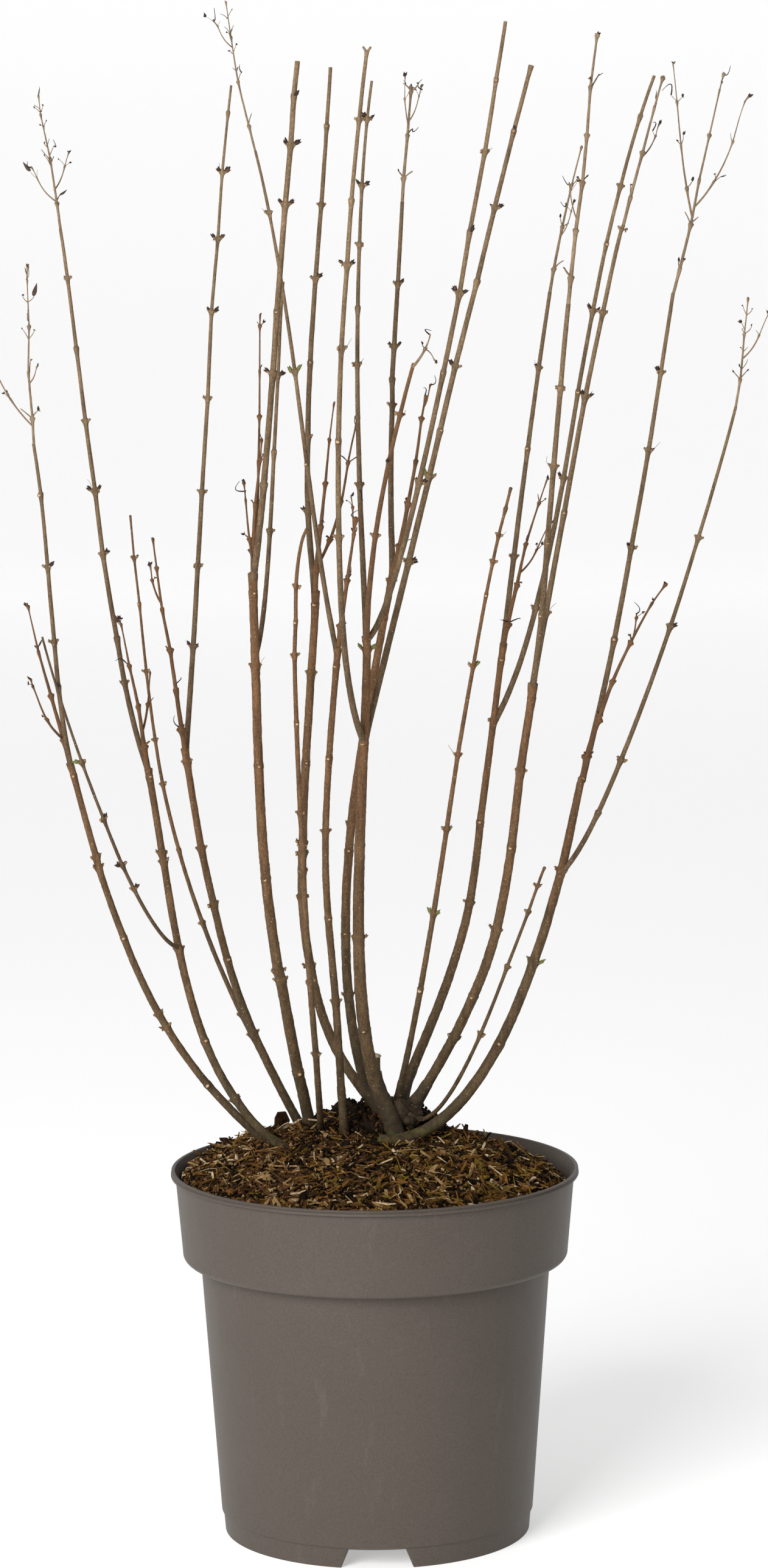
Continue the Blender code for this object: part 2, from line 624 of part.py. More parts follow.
def grow_twigs(limbs, forks, collection, cutters):
    """Every twig mass: a leader, its side twigs and spurs, joined and cut clear of its bough."""
    taken = {name: samples(limb) for name, limb in limbs.items()}
    for seed, (name, carrier, tip, bow, thick, thin, branches) in enumerate(TWIGS):
        rng = random.Random(seed)
        parent = limbs[carrier]
        leader = Limb(name, fork_start(parent, 1.0), tip, bow, bow, thick, thin)
        mass = make_limb(leader, TWIG_STEP, BOUGH_ROUND, 0.0, collection)
        grown = [leader]
        for share, end, width in branches:
            twig = long_twig(name + "_side", leader, share, end, width)
            make_limb(twig, TWIG_STEP, TWIG_ROUND, 0.0, cutters)
            grown.append(twig)
        near = [spot for other, spots in taken.items() if other != carrier for spot in spots]
        for stalk in grown:
            for root, way, reach, thickness in spurs_of(stalk, rng):
                if free_of(root + way * reach, near):
                    spur(name + "_spur", root, way, reach, thickness, cutters)
        boolean(mass, "UNION", cutters, "MANIFOLD")
        empty_out(cutters)
        siblings = forks.get((carrier, 1.0), [])
        cut_fork(mass, parent, siblings, cutters, "MANIFOLD")
        smooth(mass)
        paint(mass, TWIG_BARK)
        taken[name] = [spot for stalk in grown for spot in samples(stalk)]


def main():
    """Build the whole bush in its pot."""
    clear_scene()
    bush = new_collection("lilac_bush")
    cutters = new_collection("cutters")
    build_pot(bush, cutters)
    mulch = build_mulch(bush)
    stool = stool_body("stool", 0.0, bush)
    stool_body("stool_cutter", GAP, cutters)
    boolean(mulch, "DIFFERENCE", cutters)
    empty_out(cutters)
    limbs = grow_stems(stool, mulch, bush, cutters)
    smooth(mulch)
    paint(mulch, BARK_MULCH)
    smooth(stool)
    paint(stool, OLD_WOOD)
    forks = grow_boughs(limbs, bush, cutters)
    grow_twigs(limbs, forks, bush, cutters)
    bpy.data.collections.remove(cutters)


main()
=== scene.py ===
"""The looks of a bare lilac bush in a nursery pot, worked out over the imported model.

Metres, +Z up. The front is -Y and +X is to the right. Every limb is a tube carried along the same cubic as
its solid, with bark, nodes, buds and leaf scars on it. The twig masses grow by the solids' own seeded rule,
and are carried on from there to buds, bud scales, dry leaves and hairs.
"""

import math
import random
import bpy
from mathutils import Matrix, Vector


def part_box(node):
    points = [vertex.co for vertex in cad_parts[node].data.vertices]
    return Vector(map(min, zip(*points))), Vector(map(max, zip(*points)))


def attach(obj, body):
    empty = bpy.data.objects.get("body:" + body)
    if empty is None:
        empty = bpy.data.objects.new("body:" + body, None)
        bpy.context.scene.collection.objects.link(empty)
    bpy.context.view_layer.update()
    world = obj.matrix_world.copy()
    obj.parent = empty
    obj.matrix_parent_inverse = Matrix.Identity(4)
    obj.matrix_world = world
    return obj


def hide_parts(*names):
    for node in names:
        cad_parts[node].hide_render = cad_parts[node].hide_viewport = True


bl_info = {
    "name": "Potted lilac bush",
    "version": (1, 0, 0),
    "blender": (4, 5, 0),
    "location": "View3D > Sidebar > Lilac",
    "description": "Bark, buds, twigs, mulch and pot for a bare lilac bush",
    "category": "Object",
}

import bpy
import numpy as np
from mathutils import Matrix, Vector

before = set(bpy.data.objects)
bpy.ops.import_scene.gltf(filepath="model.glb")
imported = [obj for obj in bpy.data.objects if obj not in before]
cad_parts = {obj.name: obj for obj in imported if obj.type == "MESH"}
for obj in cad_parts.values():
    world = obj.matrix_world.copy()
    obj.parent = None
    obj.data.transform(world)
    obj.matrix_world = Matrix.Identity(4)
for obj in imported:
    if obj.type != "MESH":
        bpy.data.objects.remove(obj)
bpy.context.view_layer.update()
BODY = "root"
TURN = 2 * math.pi
UP = np.array([0.0, 0.0, 1.0])
DEEP = np.array([0.0, 1.0, 0.0])

# Pot, from the frame's own box: rim radius and height, then the steps of its profile
RIM_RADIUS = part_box("pot")[1].x
POT_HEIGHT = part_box("pot")[1].z
WALL = 0.0025
LIP_HEIGHT = 0.0042
LIP_ROUND = 0.0008
LIP_WIDTH = 0.0032
LIP_FLARE = 0.0050
COLLAR_TOP_RADIUS = RIM_RADIUS - 0.0035
COLLAR_FOOT_RADIUS = RIM_RADIUS - 0.0085
COLLAR_FOOT = 0.2115
COLLAR_ROUND = 0.0045
BODY_TOP_RADIUS = 0.1330
BODY_FOOT_RADIUS = 0.1192
FOOT_HEIGHT = 0.0155
FOOT_TOP_RADIUS = 0.1178
FOOT_RADIUS = 0.1165
FLOOR_THICKNESS = 0.0030
INNERMOST = 0.004
POT_SIDES = 288
SHARP_EDGE = 40.0
CUT_EDGE = 50.0
NOTCH_COUNT = 3
NOTCH_TOP_WIDTH = 0.043
NOTCH_FOOT_WIDTH = 0.055
NOTCH_HEIGHT = 0.0143

# Mulch: its edge on the pot's wall, the rise of its heap, how far the bed lies under the chips' tops, and how
# much higher its left side and lower the back of its right side is
MULCH_EDGE = 0.270
MULCH_RISE = 0.036
CHIP_DEPTH = 0.0040
LEFT_RISE = 0.0050
LEFT_REACH = 0.14
RIGHT_DIP = 0.0070
DIP_START = (0.015, -0.03)
DIP_REACH = (0.075, 0.08)

# Lumps of the bed as place, height and spread, and its crumbs as seed, turns along a metre and depth
MULCH_MOUNDS = [
    (-0.018, 0.045, 0.008, 0.020),
    (-0.040, 0.040, 0.004, 0.016),
    (-0.078, 0.010, 0.003, 0.022),
    (0.030, 0.060, 0.004, 0.022),
]
BED_CRUMBS = [(3, 110, 0.0013), (4, 420, 0.0010), (6, 900, 0.0008)]
BED_RINGS = 84
BED_SIDES = 260
WALL_GAP = 0.0003
CHIP_GAP = 0.0012

# Where the ground is damp, mossy or dry: strength, middle (x, y) and spread (x, y)
DAMP_GROUND = (4.0, 0.004, -0.020, 0.062, 0.042)
MOSSY_GROUND = (7.0, 0.075, -0.085, 0.060, 0.050)
DRY_GROUND = (1.6, -0.075, 0.0, 0.050, math.inf)

# Stool: the woody crown that the middle stems rise from
STOOL_CENTRE = np.array([0.012, 0.026, 0.303])
STOOL_HALF_SIZE = np.array([0.028, 0.052, 0.026])

# Crown: where its necks run together, its cores as middle and half sizes, the stems that spring from it, and
# clods of peat as middle and radius
CROWN_HUB = np.array([0.017, 0.014, 0.314])
CROWN_CORES = [
    (0.0190, 0.0060, 0.3190, 0.0105, 0.0115, 0.0120),
    (0.0270, 0.0130, 0.3185, 0.0095, 0.0110, 0.0090),
    (0.0080, 0.0230, 0.3180, 0.0100, 0.0120, 0.0080),
    (0.0255, 0.0005, 0.3150, 0.0080, 0.0070, 0.0055),
    (0.0140, 0.0380, 0.3150, 0.0120, 0.0120, 0.0090),
]
CROWN_STEMS = ["stem_mid_left", "stem_back_mid", "stem_centre", "cut_stub", "stem_front_right",
               "stem_back_right", "stem_right", "stem_low_right"]
NECK_REACH = 0.018
KNUCKLES = 26
PEAT_CLODS = [
    (-0.013, 0.030, 0.3125, 0.0085), (-0.024, 0.040, 0.3095, 0.0090), (-0.037, 0.043, 0.3065, 0.0080),
    (-0.006, 0.048, 0.3130, 0.0080), (-0.020, 0.056, 0.3100, 0.0090), (-0.002, 0.016, 0.3100, 0.0070),
    (-0.014, 0.008, 0.3060, 0.0060), (-0.034, 0.020, 0.3040, 0.0060), (0.040, 0.030, 0.3090, 0.0070),
    (0.048, 0.012, 0.3060, 0.0055), (0.014, 0.082, 0.3070, 0.0080), (0.032, 0.064, 0.3080, 0.0080),
]
CLOD_CRUMBS = 900

# Height and reach of the crown's colours: soil with painted shade that fades upwards, the band of moss and
# the bark's tone, darker towards the bottom
CROWN_SOIL_AND_SHADE = (0.316, 0.030)
CROWN_MOSS = (0.308, 0.005)
CROWN_TONE = (0.315, 0.035)

# Limbs, as in the solids
SINK = 0.010
FORK_SINK = 0.003
NODE_GAP = 0.034
NODE_FIRST = 0.022
SPROUT_CHANCE = 0.55
SPUR_LENGTHS = (0.005, 0.012)
SPUR_SHARE = 0.62
SPUR_LEANS = (32.0, 55.0)
TURN_UP = 0.16
KEEP_CLEAR = 0.004

# Each limb's path is a cubic through its root, its tip and two points at a third and two thirds of the way,
# which stand off the straight line by the two bows.
# Stems: name, foot (x, y), tip, bow at a third, bow at two thirds, diameters at foot and tip
STEMS = [
    ("stem_far_left", (-0.081, -0.010), (-0.225, -0.030, 0.595),
     (-0.018, 0.006, -0.023), (-0.013, 0.004, -0.030), 0.0062, 0.0046),
    ("stem_outer_left", (-0.069, -0.028), (-0.170, 0.040, 0.581),
     (-0.023, -0.006, -0.019), (-0.017, -0.002, -0.008), 0.0066, 0.0052),
    ("stem_back_left", (-0.056, 0.068), (-0.189, 0.190, 0.763),
     (-0.038, 0.025, 0.005), (-0.028, 0.018, -0.008), 0.0042, 0.0016),
    ("stem_left", (-0.057, 0.048), (-0.143, 0.060, 0.594),
     (-0.010, 0.004, -0.017), (-0.007, 0.004, -0.030), 0.0068, 0.0052),
    ("stem_left_thick", (-0.049, 0.032), (-0.086, -0.060, 0.738),
     (-0.011, -0.016, -0.006), (-0.009, -0.010, -0.030), 0.0088, 0.0062),
    ("stem_front_left", (-0.041, 0.014), (-0.044, -0.190, 0.780),
     (-0.005, -0.018, -0.020), (-0.011, -0.012, 0.030), 0.0054, 0.0022),
    ("stem_mid_left", (-0.001, 0.024), (-0.042, 0.070, 0.713),
     (-0.034, 0.010, -0.030), (-0.024, 0.006, -0.025), 0.0076, 0.0058),
    ("stem_front_mid", (-0.023, -0.002), (-0.024, -0.060, 0.682),
     (-0.008, -0.010, 0.023), (-0.011, -0.008, -0.015), 0.0060, 0.0046),
    ("stem_back_mid", (-0.003, 0.059), (0.018, 0.150, 0.724),
     (-0.026, 0.020, -0.018), (-0.021, 0.014, -0.017), 0.0080, 0.0056),
    ("stem_centre", (0.008, 0.005), (-0.003, -0.040, 0.689),
     (-0.014, -0.012, -0.016), (-0.008, -0.008, 0), 0.0106, 0.0058),
    ("cut_stub", (0.005, 0.042), (0.002, 0.045, 0.357),
     (-0.001, 0, 0), (-0.001, 0, 0), 0.0064, 0.0054),
    ("stem_front_right", (0.0175, 0.018), (0.100, -0.200, 0.809),
     (0, -0.020, 0), (-0.004, -0.016, 0), 0.0050, 0.0020),
    ("stem_back_right", (0.020, 0.036), (0.102, 0.090, 0.670),
     (0.018, 0.012, -0.004), (0.008, 0.008, -0.030), 0.0078, 0.0048),
    ("stem_right", (0.030, 0.018), (0.120, -0.050, 0.654),
     (0.020, -0.006, -0.009), (0.011, -0.006, -0.030), 0.0080, 0.0062),
    ("stem_far_right", (0.015, -0.029), (0.159, 0.010, 0.574),
     (0.035, 0.008, -0.014), (0.032, 0.006, 0.025), 0.0092, 0.0054),
    ("stem_low_right", (0.030, -0.001), (0.126, -0.110, 0.525),
     (0.006, 0.016, -0.028), (0.011, 0.008, 0.002), 0.0034, 0.0020),
]

# Boughs: name, limb that carries it, share of that limb's length, tip, two bows, diameters at root and tip
BOUGHS = [
    ("bough_far_left", "stem_far_left", 1.0, (-0.245, -0.070, 0.835),
     (-0.002, -0.006, 0), (0, -0.004, 0), 0.0038, 0.0024),
    ("bough_outer_left", "stem_outer_left", 1.0, (-0.233, 0.080, 0.989),
     (-0.006, 0.004, -0.016), (-0.005, 0.004, 0.005), 0.0044, 0.0024),
    ("bough_outer_left_low", "stem_outer_left", 0.57, (-0.238, -0.110, 0.697),
     (-0.002, -0.010, -0.026), (-0.007, -0.008, -0.007), 0.0032, 0.0016),
    ("bough_left", "stem_left", 1.0, (-0.105, 0.170, 1.097),
     (-0.001, 0.010, 0), (-0.003, 0.008, 0), 0.0044, 0.0018),
    ("bough_left_thick_front", "stem_left_thick", 1.0, (-0.048, -0.150, 1.108),
     (-0.001, -0.012, -0.028), (0, -0.010, -0.007), 0.0050, 0.0036),
    ("bough_left_thick_back", "stem_left_thick", 0.90, (-0.064, 0.060, 0.948),
     (0.003, 0.010, -0.019), (0.002, 0.008, 0.002), 0.0040, 0.0020),
    ("bough_mid_left", "stem_mid_left", 1.0, (-0.028, 0.160, 1.110),
     (-0.010, 0.008, 0), (-0.006, 0.006, 0), 0.0048, 0.0028),
    ("bough_crossing", "stem_front_mid", 1.0, (-0.083, 0.020, 1.046),
     (0.001, 0.004, -0.010), (0.003, 0.004, 0), 0.0040, 0.0020),
    ("bough_centre_left", "stem_centre", 0.77, (0.001, -0.170, 1.114),
     (-0.019, -0.016, -0.030), (-0.015, -0.012, 0), 0.0050, 0.0026),
    ("bough_centre_front", "stem_centre", 1.0, (0.032, -0.215, 0.897),
     (-0.006, -0.014, 0), (-0.006, -0.010, 0), 0.0044, 0.0026),
    ("bough_centre_back", "stem_centre", 1.0, (0.004, 0.020, 1.097),
     (-0.007, 0.010, -0.010), (-0.009, 0.008, -0.010), 0.0046, 0.0020),
    ("bough_centre_right", "stem_centre", 1.0, (0.101, -0.070, 1.137),
     (0.006, -0.006, -0.030), (0.014, -0.004, 0.028), 0.0046, 0.0026),
    ("bough_tall_right", "stem_centre", 0.77, (0.125, 0.100, 1.109),
     (0, 0.014, 0), (-0.002, 0.010, -0.006), 0.0052, 0.0032),
    ("bough_back_mid", "stem_back_mid", 1.0, (0.027, 0.225, 1.006),
     (-0.004, 0.008, 0), (-0.003, 0.006, 0), 0.0048, 0.0030),
    ("bough_back_right", "stem_back_right", 1.0, (0.141, 0.165, 0.936),
     (-0.001, 0.006, 0), (-0.001, 0.005, 0), 0.0044, 0.0030),
    ("bough_back_right_tall", "stem_back_right", 0.88, (0.219, 0.110, 1.101),
     (0.003, 0.004, -0.030), (-0.005, 0.004, -0.014), 0.0046, 0.0024),
    ("bough_right", "stem_right", 1.0, (0.144, -0.120, 0.935),
     (0, -0.006, -0.012), (0, -0.004, 0), 0.0048, 0.0034),
    ("bough_right_outer", "stem_right", 1.0, (0.188, -0.035, 0.990),
     (-0.005, 0.006, -0.016), (0.001, 0.004, 0.018), 0.0048, 0.0028),
    ("bough_far_right", "stem_far_right", 1.0, (0.229, 0.040, 0.938),
     (0.005, 0.004, 0), (0.004, 0.003, 0), 0.0046, 0.0028),
    ("bough_far_right_low", "stem_far_right", 0.65, (0.271, -0.030, 0.856),
     (0.005, -0.006, -0.023), (0.012, -0.004, 0.007), 0.0042, 0.0022),
]

# Twig masses: name, limb that carries it, leader's tip, bow, diameters at root and tip,
# then its long side twigs as share of the leader, tip and root diameter
TWIGS = [
    ("twigs_far_left_low", "stem_far_left", (-0.256, -0.016, 0.712), (-0.001, 0.004, 0), 0.0034, 0.0010,
     [(0.18, (-0.252, -0.060, 0.662), 0.0018)]),
    ("twigs_far_left_top", "bough_far_left", (-0.246, -0.090, 0.965), (-0.001, 0, 0), 0.0022, 0.0010,
     [(0.12, (-0.290, -0.064, 0.938), 0.0014), (0.36, (-0.239, -0.094, 0.893), 0.0012)]),
    ("twigs_outer_left_low", "stem_outer_left", (-0.189, 0.000, 0.701), (0.001, 0.002, 0), 0.0036, 0.0010,
     [(0.26, (-0.168, 0.048, 0.655), 0.0018)]),
    ("twigs_outer_left_top", "bough_outer_left", (-0.249, 0.095, 1.090), (0, 0.001, 0), 0.0023, 0.0010,
     [(0.22, (-0.254, 0.074, 1.036), 0.0012), (0.30, (-0.227, 0.102, 1.047), 0.0013)]),
    ("twigs_left", "stem_left", (-0.163, 0.000, 0.760), (0, -0.004, 0), 0.0036, 0.0014,
     [(0.70, (-0.167, 0.034, 0.737), 0.0016)]),
    ("twigs_left_thick", "stem_left_thick", (-0.079, -0.035, 0.836), (-0.001, 0.002, 0), 0.0036, 0.0012,
     [(0.30, (-0.079, -0.012, 0.927), 0.0020), (0.12, (-0.091, -0.092, 0.808), 0.0018)]),
    ("twigs_mid_left", "stem_mid_left", (-0.026, 0.040, 0.858), (-0.001, -0.004, 0), 0.0038, 0.0010,
     [(0.16, (-0.009, 0.128, 0.843), 0.0024)]),
    ("twigs_front_mid", "stem_front_mid", (-0.010, -0.046, 0.778), (0, 0.002, 0), 0.0036, 0.0018,
     [(0.88, (-0.013, -0.030, 0.793), 0.0012), (0.92, (-0.005, -0.052, 0.791), 0.0012)]),
    ("twigs_crossing_top", "bough_crossing", (-0.105, 0.040, 1.157), (-0.002, 0.002, 0), 0.0019, 0.0010,
     [(0.70, (-0.113, 0.020, 1.143), 0.0010)]),
    ("twigs_centre_front_top", "bough_centre_front", (0.043, -0.241, 0.919), (0.002, -0.002, 0),
     0.0024, 0.0010, [(0.55, (0.048, -0.218, 0.899), 0.0010)]),
    ("twigs_back_mid_low", "stem_back_mid", (0.043, 0.130, 0.859), (0.002, -0.006, 0), 0.0038, 0.0018,
     [(0.93, (0.048, 0.120, 0.868), 0.0014)]),
    ("twigs_back_mid_top", "bough_back_mid", (0.035, 0.236, 1.097), (0, 0.001, 0), 0.0029, 0.0024,
     [(0.66, (0.029, 0.228, 1.105), 0.0012), (0.70, (0.043, 0.240, 1.097), 0.0012)]),
    ("twigs_back_right_low", "stem_back_right", (0.135, 0.050, 0.799), (-0.003, -0.006, 0), 0.0036, 0.0010,
     [(0.45, (0.136, 0.076, 0.762), 0.0014)]),
    ("twigs_back_right_top", "bough_back_right", (0.167, 0.190, 1.049), (-0.001, 0.002, 0), 0.0028, 0.0014,
     [(0.40, (0.160, 0.166, 1.006), 0.0012)]),
    ("twigs_right_top", "bough_right", (0.164, -0.140, 1.126), (0, -0.002, 0), 0.0033, 0.0024,
     [(0.32, (0.144, -0.136, 1.022), 0.0012)]),
    ("twigs_right_outer_top", "bough_right_outer", (0.218, -0.030, 1.098), (-0.001, 0.001, 0),
     0.0027, 0.0020, [(0.45, (0.216, -0.016, 1.064), 0.0014)]),
    ("twigs_far_right_low", "stem_far_right", (0.218, -0.050, 0.728), (-0.008, -0.006, 0), 0.0040, 0.0014,
     [(0.72, (0.196, -0.054, 0.706), 0.0014)]),
    ("twigs_far_right_low_top", "bough_far_right_low", (0.279, -0.040, 0.937), (0.001, 0, 0), 0.0021, 0.0012,
     [(0.45, (0.293, -0.054, 0.926), 0.0014)]),
    ("twigs_far_right_top", "bough_far_right", (0.267, 0.050, 1.102), (0.001, 0.001, 0), 0.0027, 0.0014,
     [(0.36, (0.232, 0.080, 1.110), 0.0018), (0.40, (0.284, 0.020, 1.084), 0.0016)]),
]

# Limbs whose tips are clean cuts of pale wood
CUT_TOPS = {"cut_stub", "bough_left_thick_front", "bough_left_thick_back", "bough_mid_left", "bough_left",
            "bough_tall_right", "bough_centre_left", "bough_centre_back", "bough_centre_right",
            "bough_back_right_tall"}

# Leaf nodes: hundredths of the limb's length, with a letter for what stands there. e: two bare ears, left
# and right. l, r: a bud on the left or the right one. b: buds on both. g: opening green buds. o: a plain
# ring. f: an ear with a dark bud in front. s: a pale leaf scar in front.
NODES = {
    "stem_far_left": "21s 40l 44r 65s 81l 83r 98s",
    "stem_outer_left": "19e 35s 57e 77r 79l 98s",
    "stem_back_left": "13e 16l 31e 44o 56e 64e 76e 87o 94b",
    "stem_left": "30e 54s 69r 82e 98e",
    "stem_left_thick": "10s 29r 31l 52s 74s 89e 98s",
    "stem_front_left": "21r 32e 46r 49l 53e 64s 73g 78s 84e",
    "stem_mid_left": "34l 48g 56r 58l 72s 87e 98s",
    "stem_front_mid": "06s 21e 42s 68e 84s 98s",
    "stem_back_mid": "23l 35s 51s 56l 98e",
    "stem_centre": "22s 41r 58s 77s 97g",
    "stem_front_right": "20s 33g 47g 59e 73g 84s 89e 93e 97o",
    "stem_back_right": "47e 69s 89e 98s",
    "stem_right": "17r 29s 50l 72s 87e 98s",
    "stem_far_right": "32s 48g 66e 98s",
    "stem_low_right": "44r 62e 78e 88b",
    "bough_far_left": "26f 40e 63r 85o",
    "bough_outer_left": "21e 29o 43r 53b 64e 76o 89e",
    "bough_outer_left_low": "32r 39l 51r 65g",
    "bough_left": "16l 28e 39e 53e 66b 77b 87b 96o",
    "bough_left_thick_front": "27o 47l 57s 74b 84b 93f",
    "bough_left_thick_back": "39e 56o 73r",
    "bough_mid_left": "16l 30e 44s 60r 74e 89o",
    "bough_crossing": "40s 57g 87e",
    "bough_centre_left": "37e 49s 60e 70b 78o 89e",
    "bough_centre_front": "40e 67f 83e",
    "bough_centre_back": "30e 52e 62o 73e 83b 94b",
    "bough_centre_right": "33r 46s 55b 62f 72e 83s",
    "bough_tall_right": "26r 39g 46s 56l 69o 80r 91f",
    "bough_back_mid": "45e 52o 61b 78r",
    "bough_back_right": "26e 56s 79e",
    "bough_back_right_tall": "24r 44l 56s 67b 76s 84e 94o",
    "bough_right": "25s 43s 60e 78e",
    "bough_right_outer": "23e 41s 60b 75e 98e",
    "bough_far_right": "29o 48l 68e 84l",
    "bough_far_right_low": "21o 32e 55r 70e",
}

# How far each kind of node stands out, as shares of the look's own ring and ears. The cup below a node
# climbs slowly and the ears faster, and both drop at once above it.
NODE_RINGS = {"o": 1.8, "s": 1.1, "b": 1.3, "g": 1.3, "f": 1.3}
NODE_EARS = {"o": 0.25, "s": 0.55, "b": 1.35, "g": 1.3, "f": 1.2}
NODE_CLIMB = 0.0042
EAR_CLIMB = 0.0020
NODE_DROP = 0.0008
STEM_NODE_SIZE = 0.75
NODE_STEPS = np.array([-0.0060, -0.0040, -0.0026, -0.0015, -0.0007, -0.0002, 0.0003, 0.0008, 0.0016])

# Limbs whose bark is darker (above nought) or paler (below) than others at their height
DARKER = {"bough_back_mid": 0.55, "bough_mid_left": 0.35, "bough_centre_back": 0.25,
          "bough_left_thick_front": 0.20, "bough_outer_left_low": 0.20, "bough_left_thick_back": 0.10,
          "bough_tall_right": -0.10, "bough_centre_left": -0.08, "bough_far_right_low": -0.10}

# Limbs with moss on their foot, and how much the others have
MOSSY = {"stem_far_right": 1.0, "stem_outer_left": 0.8}
A_LITTLE_MOSS = 0.15
SOIL_LINE = 0.306

# Boughs whose cut top is thicker than their taper
THICK_TOPS = {"bough_tall_right", "bough_centre_left"}
THICK_TOP_SWELL = 0.35
THICK_TOP_REACH = 0.0040

# How far a stem's swelling reaches down from its fork, and how much coarser its grit is than a bough's
FORK_REACH = 0.0045
STEM_GRIT = 1.7

# Twigs: points round them, how far they wander at a node, and the share of a low twig's spurs that is drawn
TWIG_SIDES = 10
TWIG_KINK = 0.0009
LOW_SPUR_SHARE = 0.6

# Twig masses with hair-thin twiglets below their tips, and the twiglets' pairs, leans and lengths
WHIPPED = ["twigs_far_left_top", "twigs_outer_left_top", "twigs_crossing_top", "twigs_far_right_low_top"]
WHIP_GAP = 0.0135
WHIP_PAIRS = 4
WHIP_LEANS = (30, 52)
WHIP_LENGTHS = (0.004, 0.0095)
WHIP_THICKNESS = 0.0008

# What stands at the nodes and tips: shares of the places, ranges of lengths, widths at root and tip
SMALL_BUD_SHARE = 0.30
GREEN_BUD_SHARE = 0.75
SCAR_SHARE = 0.28
HAIR_SHARE = 0.12
TIP_BUD_SHARE = 0.62
CURL_SHARE = 0.16
STUB_LENGTHS = (0.0002, 0.0012)
BUD_LENGTHS = (0.0034, 0.0052)
GREEN_BUD_LENGTHS = (0.0030, 0.0055)
SCAR_LENGTHS = (0.0018, 0.0030)
HAIR_LENGTHS = (0.0035, 0.0085)
TIP_BUD_LENGTHS = (0.0020, 0.0036)
CURL_LENGTHS = (0.004, 0.009)
LEAF_LENGTHS = (0.0065, 0.0092)
STUB_WIDTHS = (0.0024, 0.0017)
HAIR_WIDTHS = (0.00045, 0.00025)
CURL_WIDTHS = (0.0011, 0.0004)
PRONG_WIDTHS = (0.0024, 0.0015)
SINK_OF_A_TIP_BUD = 0.0008

# Dry leaves: most hang near one place (x, z) on the outer side of an edge, and a few anywhere
LEAFY_PLACE = (-0.24, 1.03)
LEAFY_REACH = 0.16
LEAFY_EDGE = -0.18
LEAFY_SHARE = 0.14
STRAY_LEAF_SHARE = 0.035

# Camera, as fitted to the ellipses of the pot's rim and foot: angles in degrees, lens in millimetres
CAMERA_PITCH = 7.483
CAMERA_ROLL = -0.427
CAMERA_ASIDE = 0.0092
LENS = 107.72
SENSOR = 36.0

# Stage: the backdrop's half width, floor, round and wall, then the light
STAGE_HALF_WIDTH = 11.0
FLOOR_START = -10.0
ROUND_START = 8.0
ROUND_RADIUS = 2.0
BACKDROP_TOP = 8.0
LIGHT_SIZE = 2.4
LIGHT_PLACE = (-2.0, -3.6, 2.2)
LIGHT_AIM = (0, 0, 0.6)


# Surfaces: arrays of points with the quads and triangles between them

class Shape:
    """Points, quads, triangles and one float per point for each named attribute."""

    def __init__(self, points, quads, tris, marks=None):
        self.points = points
        self.quads = quads
        self.tris = tris
        self.marks = marks or {}

    def turn_over(self):
        """The same shape with its faces pointing the other way."""
        return Shape(self.points, self.quads[:, ::-1], self.tris[:, ::-1], self.marks)


def join(shapes):
    """One shape from several, with their faces counted on past the points before them."""
    starts = np.cumsum([0] + [len(s.points) for s in shapes[:-1]])
    names = sorted({name for s in shapes for name in s.marks})
    marks = {name: np.concatenate([s.marks.get(name, np.zeros(len(s.points))) for s in shapes])
             for name in names}
    return Shape(
        np.concatenate([s.points for s in shapes]),
        np.concatenate([s.quads + start for s, start in zip(shapes, starts)]),
        np.concatenate([s.tris + start for s, start in zip(shapes, starts)]),
        marks)


def unit(vectors):
    """Vectors scaled to a length of one."""
    return vectors / np.maximum(np.linalg.norm(vectors, axis=-1, keepdims=True), 1e-12)


def rings_to_faces(count, rings, around):
    """Faces of count tubes at once: quads between each ring and the next, and a fan at each end.

    Tube n holds rings x around points row by row, then its root's and its tip's middle point.
    """
    stride = rings * around + 2
    side = np.arange(around)
    turn = (side + 1) % around
    row = np.arange(rings - 1)[:, None] * around
    quads = np.stack([row + side, row + turn, row + around + turn, row + around + side], axis=-1)
    quads = quads.reshape(-1, 4)
    last = (rings - 1) * around
    root = np.stack([np.full(around, stride - 2), turn, side], axis=-1)
    tip = np.stack([np.full(around, stride - 1), last + side, last + turn], axis=-1)
    tris = np.concatenate([root, tip])
    start = (np.arange(count) * stride)[:, None, None]
    return (quads + start).reshape(-1, 4), (tris + start).reshape(-1, 3)


def cross_frames(paths, roll=0.0, reference=None):
    """Two unit vectors across each path point: the first is square to a reference and to the path's own way.

    Where no reference is given, it is the axis least like the path's way.
    """
    way = unit(np.gradient(paths, axis=-2))
    if reference is None:
        mean = np.abs(unit(paths[..., -1, :] - paths[..., 0, :]))
        reference = np.eye(3)[np.argmin(mean, axis=-1)][..., None, :]
    one = unit(np.cross(reference, way))
    two = np.cross(way, one)
    roll = np.asarray(roll)[..., None, None]
    return one * np.cos(roll) + two * np.sin(roll), two * np.cos(roll) - one * np.sin(roll), way


